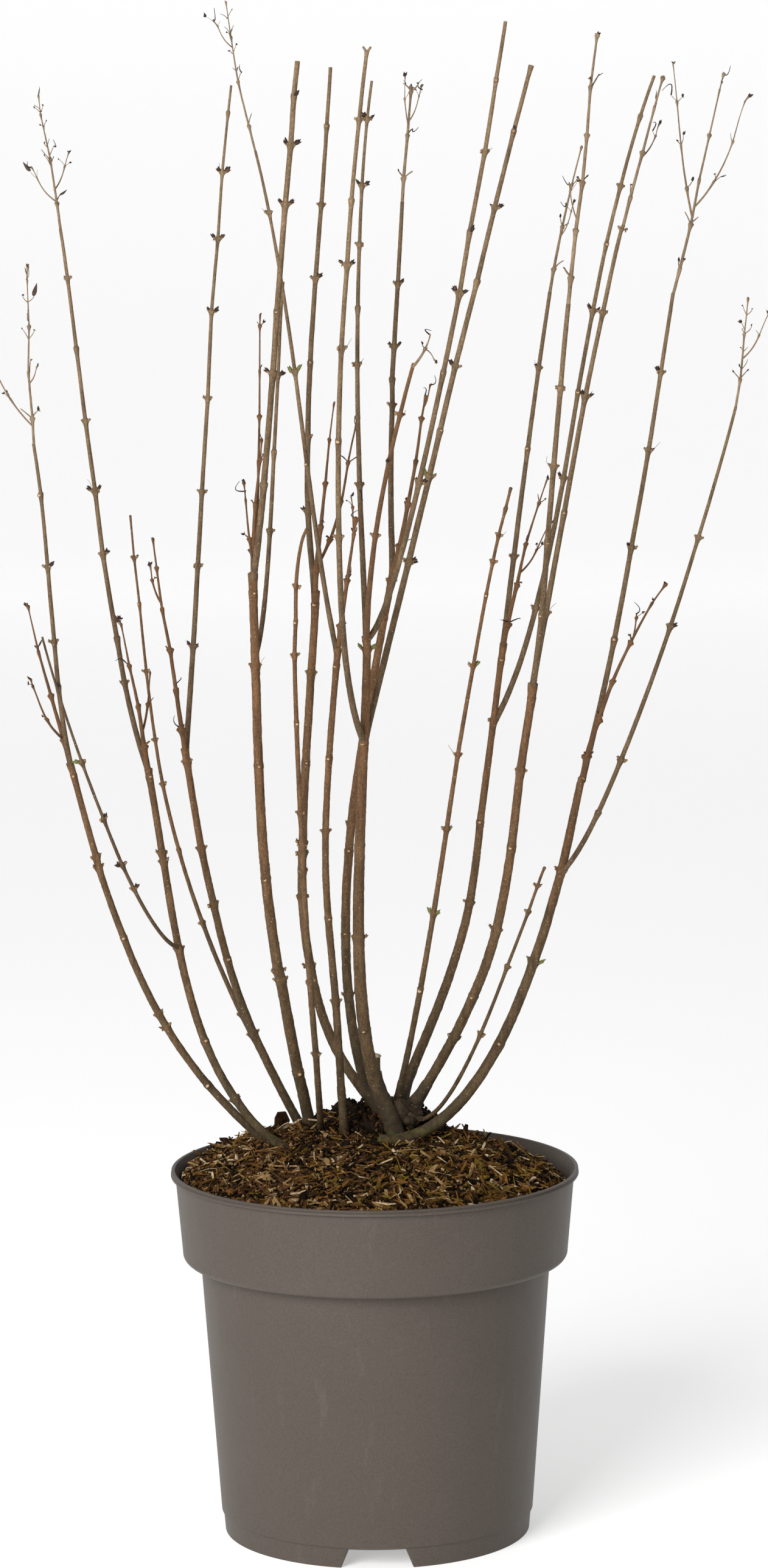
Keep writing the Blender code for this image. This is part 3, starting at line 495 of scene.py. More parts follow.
def tubes(paths, radii, around, roll=0.0, flat=1.0, marks=None, dome=0.0, reference=None):
    """Closed tubes along paths of shape (count, rings, 3).

    Point = path + radius (cos a x first + flat sin a x second), with a from 0 to a full turn. Radii are
    (count, rings) or (count, rings, around). The end points stand out by dome times the end radius.
    """
    count, rings = paths.shape[:2]
    if radii.ndim == 2:
        radii = np.repeat(radii[..., None], around, axis=2)
    one, two, way = cross_frames(paths, roll, reference)
    angle = TURN * np.arange(around) / around
    flat = np.broadcast_to(np.asarray(flat, float).reshape(-1, 1, 1, 1), (count, 1, 1, 1))
    across = one[:, :, None, :] * np.cos(angle)[:, None]
    across = across + two[:, :, None, :] * (np.sin(angle)[:, None] * flat)
    points = paths[:, :, None, :] + across * radii[..., None]
    root = points[:, 0].mean(axis=1) - way[:, 0] * (dome * radii[:, 0].mean(axis=1))[:, None]
    tip = points[:, -1].mean(axis=1) + way[:, -1] * (dome * radii[:, -1].mean(axis=1))[:, None]
    points = np.concatenate([points.reshape(count, -1, 3), root[:, None], tip[:, None]], axis=1)
    quads, tris = rings_to_faces(count, rings, around)
    spread = {}
    for name, value in (marks or {}).items():
        value = np.broadcast_to(value, (count, rings, around)).reshape(count, -1)
        ends = value[:, [0, -1]]
        spread[name] = np.concatenate([value, ends], axis=1).ravel()
    return Shape(points.reshape(-1, 3), quads, tris, spread)


def turned(profile, angles, bend=None):
    """A surface turned about Z: profile (radius, height) pairs by angles, closed on the axis at both ends.

    bend, if given, changes the (profile, angle) grids of radius and height before they are turned.
    """
    radius = np.repeat(profile[:, 0:1], len(angles), axis=1)
    height = np.repeat(profile[:, 1:2], len(angles), axis=1)
    if bend:
        radius, height = bend(radius, height, angles[None, :])
    points = np.stack([radius * np.cos(angles), radius * np.sin(angles), height], axis=-1)
    around = len(angles)
    quads, tris = rings_to_faces(1, len(profile), around)
    ends = np.array([[0, 0, height[0].mean()], [0, 0, height[-1].mean()]])
    return Shape(np.concatenate([points.reshape(-1, 3), ends]), quads, tris)


def place(name, shape, materials, stands_for=(), smooth=True):
    """Put a shape into a mesh object at the origin and let it ride on the body."""
    mesh = bpy.data.meshes.new(name)
    corners = np.concatenate([shape.quads.ravel(), shape.tris.ravel()]).astype(np.int32)
    starts = np.concatenate([
        np.arange(len(shape.quads)) * 4,
        len(shape.quads) * 4 + np.arange(len(shape.tris)) * 3]).astype(np.int32)
    mesh.vertices.add(len(shape.points))
    mesh.vertices.foreach_set("co", shape.points.astype(np.float32).ravel())
    mesh.loops.add(len(corners))
    mesh.loops.foreach_set("vertex_index", corners)
    mesh.polygons.add(len(starts))
    mesh.polygons.foreach_set("loop_start", starts)
    mesh.polygons.foreach_set("use_smooth", np.full(len(starts), smooth))
    mesh.update(calc_edges=True)
    for mark, values in shape.marks.items():
        layer = mesh.attributes.new(mark, "FLOAT", "POINT")
        layer.data.foreach_set("value", values.astype(np.float32))
    for material in materials:
        mesh.materials.append(material)
    piece = bpy.data.objects.new(name, mesh)
    bpy.context.scene.collection.objects.link(piece)
    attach(piece, BODY)
    if stands_for:
        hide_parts(*stands_for)
    return piece


def round_of(count):
    """Angles of count points round a limb, as one row."""
    return TURN * np.arange(count)[None] / count


def relief(seed, count, around, along, angle, length, lowest=1):
    """Sum of sines of (turns x angle + frequency x length + phase), scaled to about one.

    The turns are whole numbers up to around, so that the seam closes.
    """
    rng = np.random.default_rng(seed)
    turns, frequency = rng.integers(lowest, around + 1, count), rng.uniform(-along, along, count)
    phase, weight = rng.uniform(0, TURN, count), rng.uniform(0.4, 1.0, count)
    total = sum(w * np.sin(t * angle + TURN * f * length + p)
                for t, f, p, w in zip(turns, frequency, phase, weight))
    return total / math.sqrt(count)


def letters_of(name):
    """A seed of its own for each name: the sum of its letters."""
    return sum(map(ord, name))


# Limbs: the same cubics as the solids

class Limb:
    """A tapering limb: the cubic through its root, its tip and two points off the straight line."""

    def __init__(self, name, root, tip, low, high, thick, thin):
        self.name = name
        self.is_stem = name.startswith("stem")
        self.is_bough = name.startswith("bough")
        self.root = np.asarray(root, float)
        self.tip = np.asarray(tip, float)
        span = self.tip - self.root
        self.low = self.root + span / 3 + np.asarray(low, float)
        self.high = self.root + span * (2 / 3) + np.asarray(high, float)
        self.thick = thick
        self.thin = thin
        self.span = float(np.linalg.norm(span))

    def point(self, share):
        """Cubic interpolation of the four points, which lie at shares 0, 1/3, 2/3 and 1."""
        share = np.asarray(share, float)[..., None]
        a = -4.5 * (share - 1 / 3) * (share - 2 / 3) * (share - 1)
        b = 13.5 * share * (share - 2 / 3) * (share - 1)
        c = -13.5 * share * (share - 1 / 3) * (share - 1)
        d = 4.5 * share * (share - 1 / 3) * (share - 2 / 3)
        return self.root * a + self.low * b + self.high * c + self.tip * d

    def heading(self, share):
        """Unit direction of growth at a share of the length."""
        step = 0.01
        return unit(self.point(np.asarray(share) + step) - self.point(np.asarray(share) - step))

    def radius(self, share):
        """Radius at a share of the length: a straight taper."""
        return (self.thick + (self.thin - self.thick) * np.asarray(share, float)) / 2


def mulch_top(x, y):
    """Height of the heaped mulch: flat in the middle, falling with the cube of the distance."""
    share = np.hypot(x, y) / (COLLAR_TOP_RADIUS - WALL)
    return MULCH_EDGE + MULCH_RISE * (1 - share**3)


def mounded_top(x, y):
    """Height of the bed with its lumps: each adds height x exp(-(distance / spread) squared)."""
    height = mulch_top(x, y) - CHIP_DEPTH + LEFT_RISE * np.clip(-x / LEFT_REACH, 0, 1)**2
    right = np.clip((x - DIP_START[0]) / DIP_REACH[0], 0, 1)
    height = height - RIGHT_DIP * right * np.clip((y - DIP_START[1]) / DIP_REACH[1], 0, 1)
    for at_x, at_y, rise, spread in MULCH_MOUNDS:
        height = height + rise * np.exp(-((x - at_x)**2 + (y - at_y)**2) / spread**2)
    return height


def stool_top(x, y):
    """Height of the stool's upper surface, or None where a point is outside its outline."""
    side = (x - STOOL_CENTRE[0]) / STOOL_HALF_SIZE[0]
    deep = (y - STOOL_CENTRE[1]) / STOOL_HALF_SIZE[1]
    rest = 1 - side**2 - deep**2
    if rest <= 0:
        return None
    return STOOL_CENTRE[2] + STOOL_HALF_SIZE[2] * math.sqrt(rest)


def fork_start(parent, share):
    """Where a limb starts: on its parent's middle line, and a little inside the parent's end at a fork."""
    back = FORK_SINK / parent.span if share == 1.0 else 0.0
    return parent.point(share - back)


def grow_limbs():
    """Every stem and bough by name."""
    limbs = {}
    for name, foot, tip, low, high, thick, thin in STEMS:
        surface = stool_top(*foot) or mulch_top(*foot)
        limbs[name] = Limb(name, (*foot, surface), tip, low, high, thick, thin)
    for name, carrier, share, tip, low, high, thick, thin in BOUGHS:
        limbs[name] = Limb(name, fork_start(limbs[carrier], share), tip, low, high, thick, thin)
    return limbs


LIMBS = grow_limbs()

# The crown's neck that shows in front: stem_centre goes on down to the soil and turns into stem_far_right
FRONT_NECK = Limb("front_neck", (0.001, -0.003, 0.345), (0.0165, -0.0295, 0.303),
                  (0.0020, 0.0103, -0.0025), (0.0028, 0.0117, -0.0030), 0.0100, 0.0136)


def nodes_of(limb):
    """Leaf nodes of a limb: lengths from its root, their kinds, and the turn of each pair of ears about it.

    Ears stand left and right as the camera sees them. At a scar, a front bud or a plain ring one of them
    faces the camera.
    """
    words = NODES.get(limb.name, "").split()
    at = np.array([int(word[:-1]) for word in words], float) / 100 * limb.span
    kinds = [word[-1] for word in words]
    rng = np.random.default_rng(letters_of(limb.name))
    facing = np.array([math.pi / 2 if kind in "fso" else 0.0 for kind in kinds])
    return at, kinds, facing + rng.uniform(-0.35, 0.35, len(words))


def stand_of(limb, kinds, look):
    """How far a limb's nodes stand out: the plain ring, then each node's own ring and ears."""
    size = STEM_NODE_SIZE if limb.is_stem else 1.0
    ring = look.node_ring * size
    rings = ring * np.array([NODE_RINGS.get(kind, 1.0) for kind in kinds])
    ears = look.node_ears * size * np.array([NODE_EARS.get(kind, 1.0) for kind in kinds])
    return ring, rings, ears


def ring_places(start, end, at, step):
    """Lengths of a limb's rings: evenly spread, and closer together just below and above each node."""
    even = np.linspace(start, end, max(5, int((end - start) / step)))[1:-1]
    far = (np.abs(even[:, None] - at[None, :] + 0.002) > 0.0045).all(axis=1)
    near = (at[:, None] + NODE_STEPS).ravel()
    inner = np.unique(np.round(np.concatenate([even[far], near]), 4))
    inner = inner[(inner > start + 0.0003) & (inner < end - 0.0003)]
    return np.concatenate([[start], inner, [end]])


def swelling(length, angle, at, turn, ring, ear):
    """How far nodes stand out of a limb: a cup that opens slowly from below and ends in a shelf.

    The cup is ring x exp(-(distance / climb) squared) below a node, with the much shorter drop above it. The
    two ears are ear x the same with a shorter climb x |cos(angle - turn)| to the sixth power.
    """
    off = length[:, None] - at[None, :]
    cup = np.exp(-(off / np.where(off < 0, NODE_CLIMB, NODE_DROP))**2)
    shelf = np.exp(-(off / np.where(off < 0, EAR_CLIMB, NODE_DROP))**2)
    lobes = np.abs(np.cos(angle[:, :, None] - turn))**6
    return ((ring * cup)[:, None, :] + (ear * shelf)[:, None, :] * lobes).sum(axis=2)


def kink(path, length, at, span, seed, reach):
    """Let a middle line wander sideways by up to reach at each node, in straight stretches between them."""
    wander = np.random.default_rng(seed).uniform(-1, 1, (len(at), 2)) * reach
    for axis in (0, 1):
        path[:, axis] += np.interp(length, [0, *at, span], [0, *wander[:, axis], 0])


def bark_of(limb, look, cut):
    """A limb with its bark as one tube.

    Its radius is the taper x (1 + flare at the foot + swelling at a fork or a thick cut top) + nodes, x (1 +
    ridges + lumps + grit).
    """
    seed = letters_of(limb.name)
    around = look.sides_of_a_stem if limb.is_stem else look.sides_of_a_bough
    at, kinds, turn = nodes_of(limb)
    length = ring_places(0.0 if limb.is_bough else -SINK, limb.span, at, look.ring_step)
    share = length / limb.span
    angle = round_of(around)
    flare = look.foot_flare * np.exp(-np.maximum(length, 0) / look.foot_reach)
    if limb.is_stem:
        flare = flare + look.fork_swell * np.exp(-((limb.span - length) / FORK_REACH)**2)
    if limb.name in THICK_TOPS:
        flare = flare + THICK_TOP_SWELL * np.exp(-((limb.span - length) / THICK_TOP_REACH)**2)
    grid = (limb.radius(np.clip(share, 0, 1)) * (1 + flare))[:, None] * np.ones((1, around))
    grid += swelling(length, angle, at, turn, *stand_of(limb, kinds, look)[1:])
    ridges = relief(seed, 7, 7, 55.0, angle, length[:, None], lowest=2)
    lumps = relief(seed + 1, 5, 2, 30.0, angle, length[:, None])
    grit = np.random.default_rng(seed + 3).normal(size=grid.shape)
    grit_depth = look.grit_depth * (STEM_GRIT if limb.is_stem else 1.0)
    grid *= 1 + look.ridge_depth * ridges + look.lump_depth * lumps + grit_depth * grit
    path = limb.point(share)
    kink(path, length, at, limb.span, seed + 2, look.node_kink)
    height = path[:, 2]
    low, high = (look.bough_foot, look.bough_top) if limb.is_bough else (look.stem_foot, look.stem_top)
    # Near the soil line: soil on the foot with painted shade where the limb meets the mulch, and moss
    soil = np.exp(-np.maximum(height - SOIL_LINE, 0) / look.moss_reach)
    marks = {
        "tone": (height - low) / (high - low) - DARKER.get(limb.name, 0.0),
        "soil": soil,
        "moss": soil**2 * MOSSY.get(limb.name, A_LITTLE_MOSS),
    }
    marks = {name: np.broadcast_to(value[:, None], grid.shape)[None] for name, value in marks.items()}
    return tubes(path[None], grid[None], around, marks=marks, dome=0.0 if cut else 0.6, reference=DEEP)


# Buds, spurs, leaves and chips: small closed tubes made by the hundred

def ovals(roots, ways, lengths, widths, around=6, rings=5, bend=0.0, flat=1.0, roll=0.0):
    """Pointed ovals, such as buds and leaves, on a middle line that bends up.

    Radius = half width x sin(pi x (share from 0.06 to 0.96) to the power 0.6).
    """
    share = np.linspace(0.0, 1.0, rings)
    reach = lengths[:, None, None] * share[None, :, None]
    lift = bend * lengths[:, None, None] * share[None, :, None]**2
    paths = roots[:, None, :] + ways[:, None, :] * reach + UP * lift
    bulge = np.sin(math.pi * (0.06 + 0.90 * share)**0.6)
    radii = widths[:, None] * 0.5 * np.maximum(bulge, 0.08)[None, :]
    return tubes(paths, radii, around, roll=roll, flat=flat, dome=0.5)


def spikes(roots, tips, thick, thin, rings=5, around=5, bow=0.0, seed=0):
    """Thin tapering tubes from roots to tips, bowed by a share of their length and knotted a little.

    Thick and thin are the widths at their two ends, each one number or one for every tube.
    """
    rng = np.random.default_rng(seed)
    thick, thin = (np.broadcast_to(width, len(roots)) for width in (thick, thin))
    share = np.linspace(0.0, 1.0, rings)
    span = tips - roots
    size = np.linalg.norm(span, axis=1)
    paths = roots[:, None] + span[:, None] * share[None, :, None]
    side = rng.normal(size=(len(roots), 3))
    curve = (share * (1 - share) * 4)[None, :, None]
    paths += side[:, None] * curve * (bow * size)[:, None, None]
    radii = thick[:, None] + (thin - thick)[:, None] * share[None]
    radii = radii * rng.uniform(0.9, 1.12, radii.shape) * 0.5
    return tubes(paths, radii, around, dome=0.4)


# Finishes: each is a Principled shader with its colours mixed layer by layer

class Finish:
    """A material under construction, whose textures read Object coordinates."""

    def __init__(self, name, roughness, specular):
        self.material = bpy.data.materials.new(name)
        self.material.use_nodes = True
        self.tree = self.material.node_tree
        self.shader = self.tree.nodes["Principled BSDF"]
        self.shader.inputs["Roughness"].default_value = roughness
        self.shader.inputs["Specular IOR Level"].default_value = specular
        self.coordinates = self.add("ShaderNodeTexCoord")

    def add(self, kind, **settings):
        """A node with its settings: inputs by their own names, properties by theirs."""
        made = self.tree.nodes.new(kind)
        for key, value in settings.items():
            title = key.replace("_", " ")
            if title in made.inputs:
                made.inputs[title].default_value = value
            else:
                setattr(made, key, value)
        return made

    def link(self, output, target):
        """Join an output to an input."""
        self.tree.links.new(output, target)

    def place(self, stretch):
        """Object coordinates, scaled by stretch on each axis."""
        mapping = self.add("ShaderNodeMapping", Scale=stretch)
        self.link(self.coordinates.outputs["Object"], mapping.inputs["Vector"])
        return mapping.outputs["Vector"]

    def noise(self, scale, detail=3.0, stretch=(1, 1, 1), roughness=0.55):
        """Cloudy noise, as a value from 0 to 1."""
        made = self.add("ShaderNodeTexNoise", Scale=scale, Detail=detail, Roughness=roughness)
        self.link(self.place(stretch), made.inputs["Vector"])
        return made.outputs["Fac"]

    def dots(self, scale, size, share, stretch=(1, 1, 1)):
        """Round dots of a size, in a share of the cells of a lattice."""
        cells = self.add("ShaderNodeTexVoronoi", Scale=scale, Randomness=1.0)
        self.link(self.place(stretch), cells.inputs["Vector"])
        near = self.ramp(cells.outputs["Distance"], size, size * 0.6)
        tone = self.add("ShaderNodeSeparateColor")
        self.link(cells.outputs["Color"], tone.inputs["Color"])
        chosen = self.ramp(tone.outputs["Red"], 1 - share, 1 - share + 0.02)
        return self.times(near, chosen)

    def ramp(self, value, low, high):
        """A value stretched so that low gives 0 and high gives 1."""
        made = self.add("ShaderNodeMapRange", clamp=True, From_Min=low, From_Max=high)
        self.link(value, made.inputs["Value"])
        return made.outputs["Result"]

    def feed(self, target, value):
        """Give an input a number, a colour or another node's output."""
        if isinstance(value, bpy.types.NodeSocket):
            self.link(value, target)
        elif isinstance(value, (int, float)):
            target.default_value = value
        else:
            target.default_value = (*value, 1.0)

    def times(self, one, two, operation="MULTIPLY"):
        """Two values multiplied."""
        made = self.add("ShaderNodeMath", operation=operation)
        self.feed(made.inputs[0], one)
        self.feed(made.inputs[1], two)
        return made.outputs["Value"]

    def plus(self, one, two):
        """Two values added."""
        return self.times(one, two, "ADD")

    def attribute(self, name):
        """A named value carried by the mesh."""
        return self.add("ShaderNodeAttribute", attribute_name=name).outputs["Fac"]

    def mix(self, share, under, over, blend="MIX"):
        """Colour over laid on colour under by a share.

        The node also has sockets for numbers and vectors. Those for colours are inputs 6 and 7 and output 2.
        """
        made = self.add("ShaderNodeMix", data_type="RGBA", blend_type=blend)
        for slot, value in ((0, share), (6, under), (7, over)):
            self.feed(made.inputs[slot], value)
        return made.outputs[2]

    def ranks(self, value, *stops):
        """A colour ramp: stops are (place, colour)."""
        made = self.add("ShaderNodeValToRGB")
        band = made.color_ramp
        band.elements[0].position, band.elements[1].position = stops[0][0], stops[-1][0]
        band.elements[0].color, band.elements[1].color = (*stops[0][1], 1), (*stops[-1][1], 1)
        for spot, colour in stops[1:-1]:
            band.elements.new(spot).color = (*colour, 1)
        self.link(value, made.inputs["Fac"])
        return made.outputs["Color"]

    def colour(self, value):
        """Set the base colour."""
        self.feed(self.shader.inputs["Base Color"], value)

    def rough(self, value, low, high):
        """Roughness from low to high by a value."""
        made = self.add("ShaderNodeMapRange", To_Min=low, To_Max=high)
        self.link(value, made.inputs["Value"])
        self.link(made.outputs["Result"], self.shader.inputs["Roughness"])

    def bump(self, height, distance):
        """Fine relief, in metres."""
        made = self.add("ShaderNodeBump", Distance=distance)
        self.link(height, made.inputs["Height"])
        self.link(made.outputs["Normal"], self.shader.inputs["Normal"])


def shaded(colour, share):
    """A colour made darker or lighter by a share."""
    return tuple(min(part * share, 1.0) for part in colour)


def grey(part):
    """A grey that darkens or lightens what it is multiplied with."""
    return part, part, part


def bark_finish(name, look, low, middle, high):
    """Bark whose colour runs from low to high by the mesh's own tone.

    Grain, streaks, pale pores, dark pits and moss lie over it, and soil near the mulch, darkened further as
    painted shade.
    """
    bark = Finish(name, 0.74, 0.22)
    patches = bark.noise(30.0, 2.0, (1, 1, 0.35))
    tone = bark.plus(bark.attribute("tone"), bark.times(bark.ramp(patches, 0.30, 0.70), 0.36))
    colour = bark.ranks(tone, (0.16, low), (0.60, middle), (1.08, high))
    streaks = bark.noise(240.0, 4.0, (1, 1, 0.16), 0.6)
    shade = bark.ranks(streaks, (0.30, (0.58, 0.55, 0.52)), (0.72, (1.28, 1.26, 1.22)))
    colour = bark.mix(1.0, colour, shade, "MULTIPLY")
    grain = bark.noise(900.0, 4.0, (1, 1, 0.55), 0.75)
    speckle = bark.ranks(grain, (0.30, (0.46, 0.43, 0.40)), (0.72, (1.42, 1.40, 1.34)))
    colour = bark.mix(1.0, colour, speckle, "MULTIPLY")
    pores = bark.dots(300.0, 0.19, 0.42, (0.8, 0.8, 1.2))
    colour = bark.mix(bark.times(pores, 0.75), colour, look.pore)
    pits = bark.dots(430.0, 0.15, 0.30)
    colour = bark.mix(bark.times(pits, 0.65), colour, look.pit)
    moss = bark.times(bark.attribute("moss"), bark.ramp(bark.noise(120.0, 4.0), 0.46, 0.60))
    colour = bark.mix(moss, colour, look.moss)
    # Soil on the foot, mixed in dark enough to stand for painted shade where the limb meets the mulch
    dirt_and_shade = bark.times(bark.attribute("soil"), bark.ramp(bark.noise(200.0, 4.0), 0.30, 0.56))
    colour = bark.mix(bark.times(dirt_and_shade, 0.80), colour, look.dirt_and_shade)
    bark.colour(colour)
    bark.bump(bark.plus(bark.plus(grain, pores), streaks), 0.0004)
    return bark.material


def plain_finish(name, base, dark, roughness, scale=300.0, depth=0.0003, specular=0.25):
    """A base colour mottled with a darker one, which is a colour of its own or a share of the base."""
    made = Finish(name, roughness, specular)
    if isinstance(dark, float):
        dark = shaded(base, dark)
    grain = made.noise(scale, 4.0, (1, 1, 1), 0.65)
    made.colour(made.mix(made.ramp(grain, 0.30, 0.70), dark, base))
    made.bump(grain, depth)
    return made.material


def pot_finish(look):
    """Moulded plastic with a faint cloudiness, a fine orange peel and dust that gathers in patches."""
    pot = Finish("moulded_plastic", 0.52, 0.18)
    cloud = pot.noise(9.0, 3.0)
    colour = pot.mix(pot.ramp(cloud, 0.35, 0.70), look.plastic, shaded(look.plastic, 1.08))
    scuffs = pot.noise(55.0, 5.0, (1, 1, 0.25), 0.7)
    colour = pot.mix(pot.times(pot.ramp(scuffs, 0.58, 0.80), 0.22), colour, look.dust)
    grain = pot.noise(800.0, 3.0, (1, 1, 1), 0.8)
    mottle = pot.ranks(grain, (0.30, grey(0.80)), (0.70, grey(1.18)))
    colour = pot.mix(1.0, colour, mottle, "MULTIPLY")
    pot.colour(colour)
    peel = pot.noise(1300.0, 2.0)
    pot.rough(scuffs, 0.40, 0.56)
    pot.bump(peel, 0.00010)
    return pot.material


def bed_finish(look):
    """Dark compost with brown crumbs."""
    bed = Finish("compost", 0.95, 0.12)
    crumbs = bed.noise(420.0, 5.0, (1, 1, 1), 0.7)
    bed.colour(bed.ranks(crumbs, (0.32, look.peat), (0.58, look.compost), (0.84, look.crumb)))
    bed.bump(crumbs, 0.0015)
    return bed.material


def twig_finish(name, base):
    """Young bark of one colour, with lengthwise streaks and a fine speckle."""
    twig = Finish(name, 0.68, 0.25)
    grain = twig.noise(900.0, 4.0, (1, 1, 0.45), 0.75)
    colour = twig.ranks(grain, (0.28, shaded(base, 0.45)), (0.52, base), (0.76, shaded(base, 1.30)))
    broad = twig.noise(140.0, 3.0, (1, 1, 0.5))
    bands = twig.ranks(broad, (0.32, (0.72, 0.70, 0.68)), (0.68, grey(1.14)))
    twig.colour(twig.mix(1.0, colour, bands, "MULTIPLY"))
    twig.bump(grain, 0.0002)
    return twig.material


# What a user would change

def colour_property(name, description, default):
    """A colour setting."""
    return bpy.props.FloatVectorProperty(
        name=name, description=description, default=default, subtype="COLOR", size=3, min=0.0, max=1.0)


def size_property(name, description, default):
    """A length setting."""
    return bpy.props.FloatProperty(
        name=name, description=description, default=default, unit="LENGTH", precision=5)


def share_property(name, description, default):
    """A setting without a unit."""
    return bpy.props.FloatProperty(name=name, description=description, default=default)


def count_property(name, description, default):
    """A number of points or things."""
    return bpy.props.IntProperty(name=name, description=description, default=default, min=0)


class LilacPotLook(bpy.types.PropertyGroup):
    """The pot's finish."""

    plastic: colour_property("Plastic", "Colour of the moulded plastic", (0.083, 0.0680, 0.0560))
    dust: colour_property("Dust", "Colour of the dust on the plastic", (0.20, 0.175, 0.15))
    flash: size_property("Flash", "How far the moulding's uneven edge stands out under the lip", 0.0005)


class LilacMulchLook(bpy.types.PropertyGroup):
    """The mulch bed and what lies on it."""

    peat: colour_property("Peat", "Darkest part of the compost", (0.006, 0.004, 0.003))
    compost: colour_property("Compost", "Middle of the compost", (0.018, 0.011, 0.006))
    crumb: colour_property("Crumb", "Lightest part of the compost", (0.07, 0.040, 0.018))
    chips: count_property("Chips", "Number that each layer of chips takes its share of", 9000)


class LilacBarkLook(bpy.types.PropertyGroup):
    """The bark of stems and boughs."""

    stem_low: colour_property("Stem, low", "Bark of stems near the soil", (0.088, 0.064, 0.034))
    stem_middle: colour_property("Stem, middle", "Bark of stems half way up", (0.135, 0.084, 0.043))
    stem_high: colour_property("Stem, high", "Bark of stems below their fork", (0.165, 0.088, 0.042))
    bough_low: colour_property("Bough, low", "Bark of boughs above their fork", (0.125, 0.083, 0.047))
    bough_middle: colour_property("Bough, middle", "Bark of boughs half way up", (0.178, 0.122, 0.070))
    bough_high: colour_property("Bough, high", "Bark at the top of tall boughs", (0.225, 0.158, 0.094))
    pore: colour_property("Pores", "Raised pores", (0.42, 0.31, 0.19))
    pit: colour_property("Pits", "Small dark marks", (0.035, 0.022, 0.013))
    moss: colour_property("Moss", "Green film near the soil", (0.080, 0.078, 0.010))
    # Soil on a stem's foot, which also stands for painted shade near the mulch
    dirt_and_shade: colour_property("Dirt", "Soil on a stem's foot", (0.024, 0.015, 0.0075))
    ring_step: size_property("Ring step", "Distance between two rings of a limb's mesh", 0.0023)
    sides_of_a_stem: count_property("Sides of a stem", "Points round a stem", 18)
    sides_of_a_bough: count_property("Sides of a bough", "Points round a bough", 14)
    node_ring: size_property("Node ring", "How far a node stands out all round", 0.00045)
    node_ears: size_property("Node ears", "How far it stands out at its two ears", 0.00115)
    node_kink: size_property("Node kink", "How far the middle line wanders from node to node", 0.0006)
    ridge_depth: share_property("Ridges", "Depth of the ridges as a share of the radius", 0.022)
    lump_depth: share_property("Lumps", "Depth of broad lumps as a share of the radius", 0.028)
    grit_depth: share_property("Grit", "Depth of the fine grit as a share of the radius", 0.014)
    tip_slimming: share_property("Tip slimming", "Share of a twig's radius that is lost by its tip", 0.30)
    foot_flare: share_property("Flare", "How much wider a limb is at its root", 0.24)
    foot_reach: size_property("Flare's reach", "How far the flare reaches up", 0.007)
    fork_swell: share_property("Fork swelling", "How much a stem widens at its fork", 0.26)
    stem_foot: size_property("Stem's low end", "Height at which a stem has its low colour", 0.30)
    stem_top: size_property("Stem's high end", "Height at which a stem has its high colour", 0.68)
    bough_foot: size_property("Bough's low end", "Height at which a bough has its low colour", 0.60)
    bough_top: size_property("Bough's high end", "Height at which a bough has its high colour", 1.10)
    # Also how far the soil with its painted shade climbs
    moss_reach: size_property("Moss reach", "How far soil and green film climb", 0.020)


class LilacBudLook(bpy.types.PropertyGroup):
    """Buds, scars and dry leaves."""

    bud: colour_property("Bud", "Scales of resting buds", (0.050, 0.024, 0.018))
    bud_tip: colour_property("Bud tip", "Lighter scales", (0.150, 0.085, 0.045))
    spur: colour_property("Short shoot", "Bark of the short shoots", (0.145, 0.070, 0.028))
    twig: colour_property("Twig", "Bark of the twigs at the top", (0.250, 0.172, 0.102))
    scar: colour_property("Leaf scar", "Pale corky leaf scars", (0.60, 0.44, 0.28))
    rim: colour_property("Scar's rim", "Orange brown round the scars", (0.26, 0.120, 0.045))
    cut: colour_property("Cut wood", "Pale wood where a shoot was cut", (0.45, 0.36, 0.24))
    leaf: colour_property("Dry leaf", "Curled dry leaves", (0.095, 0.058, 0.040))
    green: colour_property("Opening bud", "The few green buds", (0.17, 0.18, 0.045))


class LilacStageLook(bpy.types.PropertyGroup):
    """Floor, lights and camera."""

    floor: colour_property("Floor", "Colour of the floor and the backdrop", (0.93, 0.93, 0.93))
    glow: share_property("Glow", "How much the backdrop glows, so that it looks white", 0.40)
    key: share_property("Key light", "Strength of the large light at the left", 195.0)
    sky: share_property("Sky", "Strength of the even light all round", 0.36)
    distance: size_property("Camera distance", "How far in front the camera stands", 3.5)
    height: size_property("Camera height", "How high it stands", 1.033)


LOOKS = {
    "lilac_pot": LilacPotLook,
    "lilac_mulch": LilacMulchLook,
    "lilac_bark": LilacBarkLook,
    "lilac_buds": LilacBudLook,
    "lilac_stage": LilacStageLook,
}


# Pot

def arc(centre, radius, start, end, count):
    """Profile points on an arc between two angles in degrees from outwards."""
    angle = np.radians(np.linspace(start, end, count + 1))
    return np.stack([centre[0] + radius * np.cos(angle), centre[1] + radius * np.sin(angle)], axis=1)


def run(*points, step=0.004):
    """Profile points on straight lines between corners, no further apart than step."""
    corners = np.array(points, float)
    parts = []
    for one, two in zip(corners, corners[1:]):
        count = max(1, math.ceil(np.linalg.norm(two - one) / step))
        parts.append(one + (two - one) * np.linspace(0, 1, count, endpoint=False)[:, None])
    return np.concatenate(parts + [corners[-1:]])


def inner_wall():
    """The pot's inner wall from the top down."""
    return np.array([
        (COLLAR_TOP_RADIUS - WALL, POT_HEIGHT - LIP_FLARE),
        (COLLAR_FOOT_RADIUS - WALL, COLLAR_FOOT + WALL + COLLAR_ROUND),
        (BODY_TOP_RADIUS - WALL, COLLAR_FOOT + WALL),
        (BODY_FOOT_RADIUS - WALL, FOOT_HEIGHT + FLOOR_THICKNESS)])


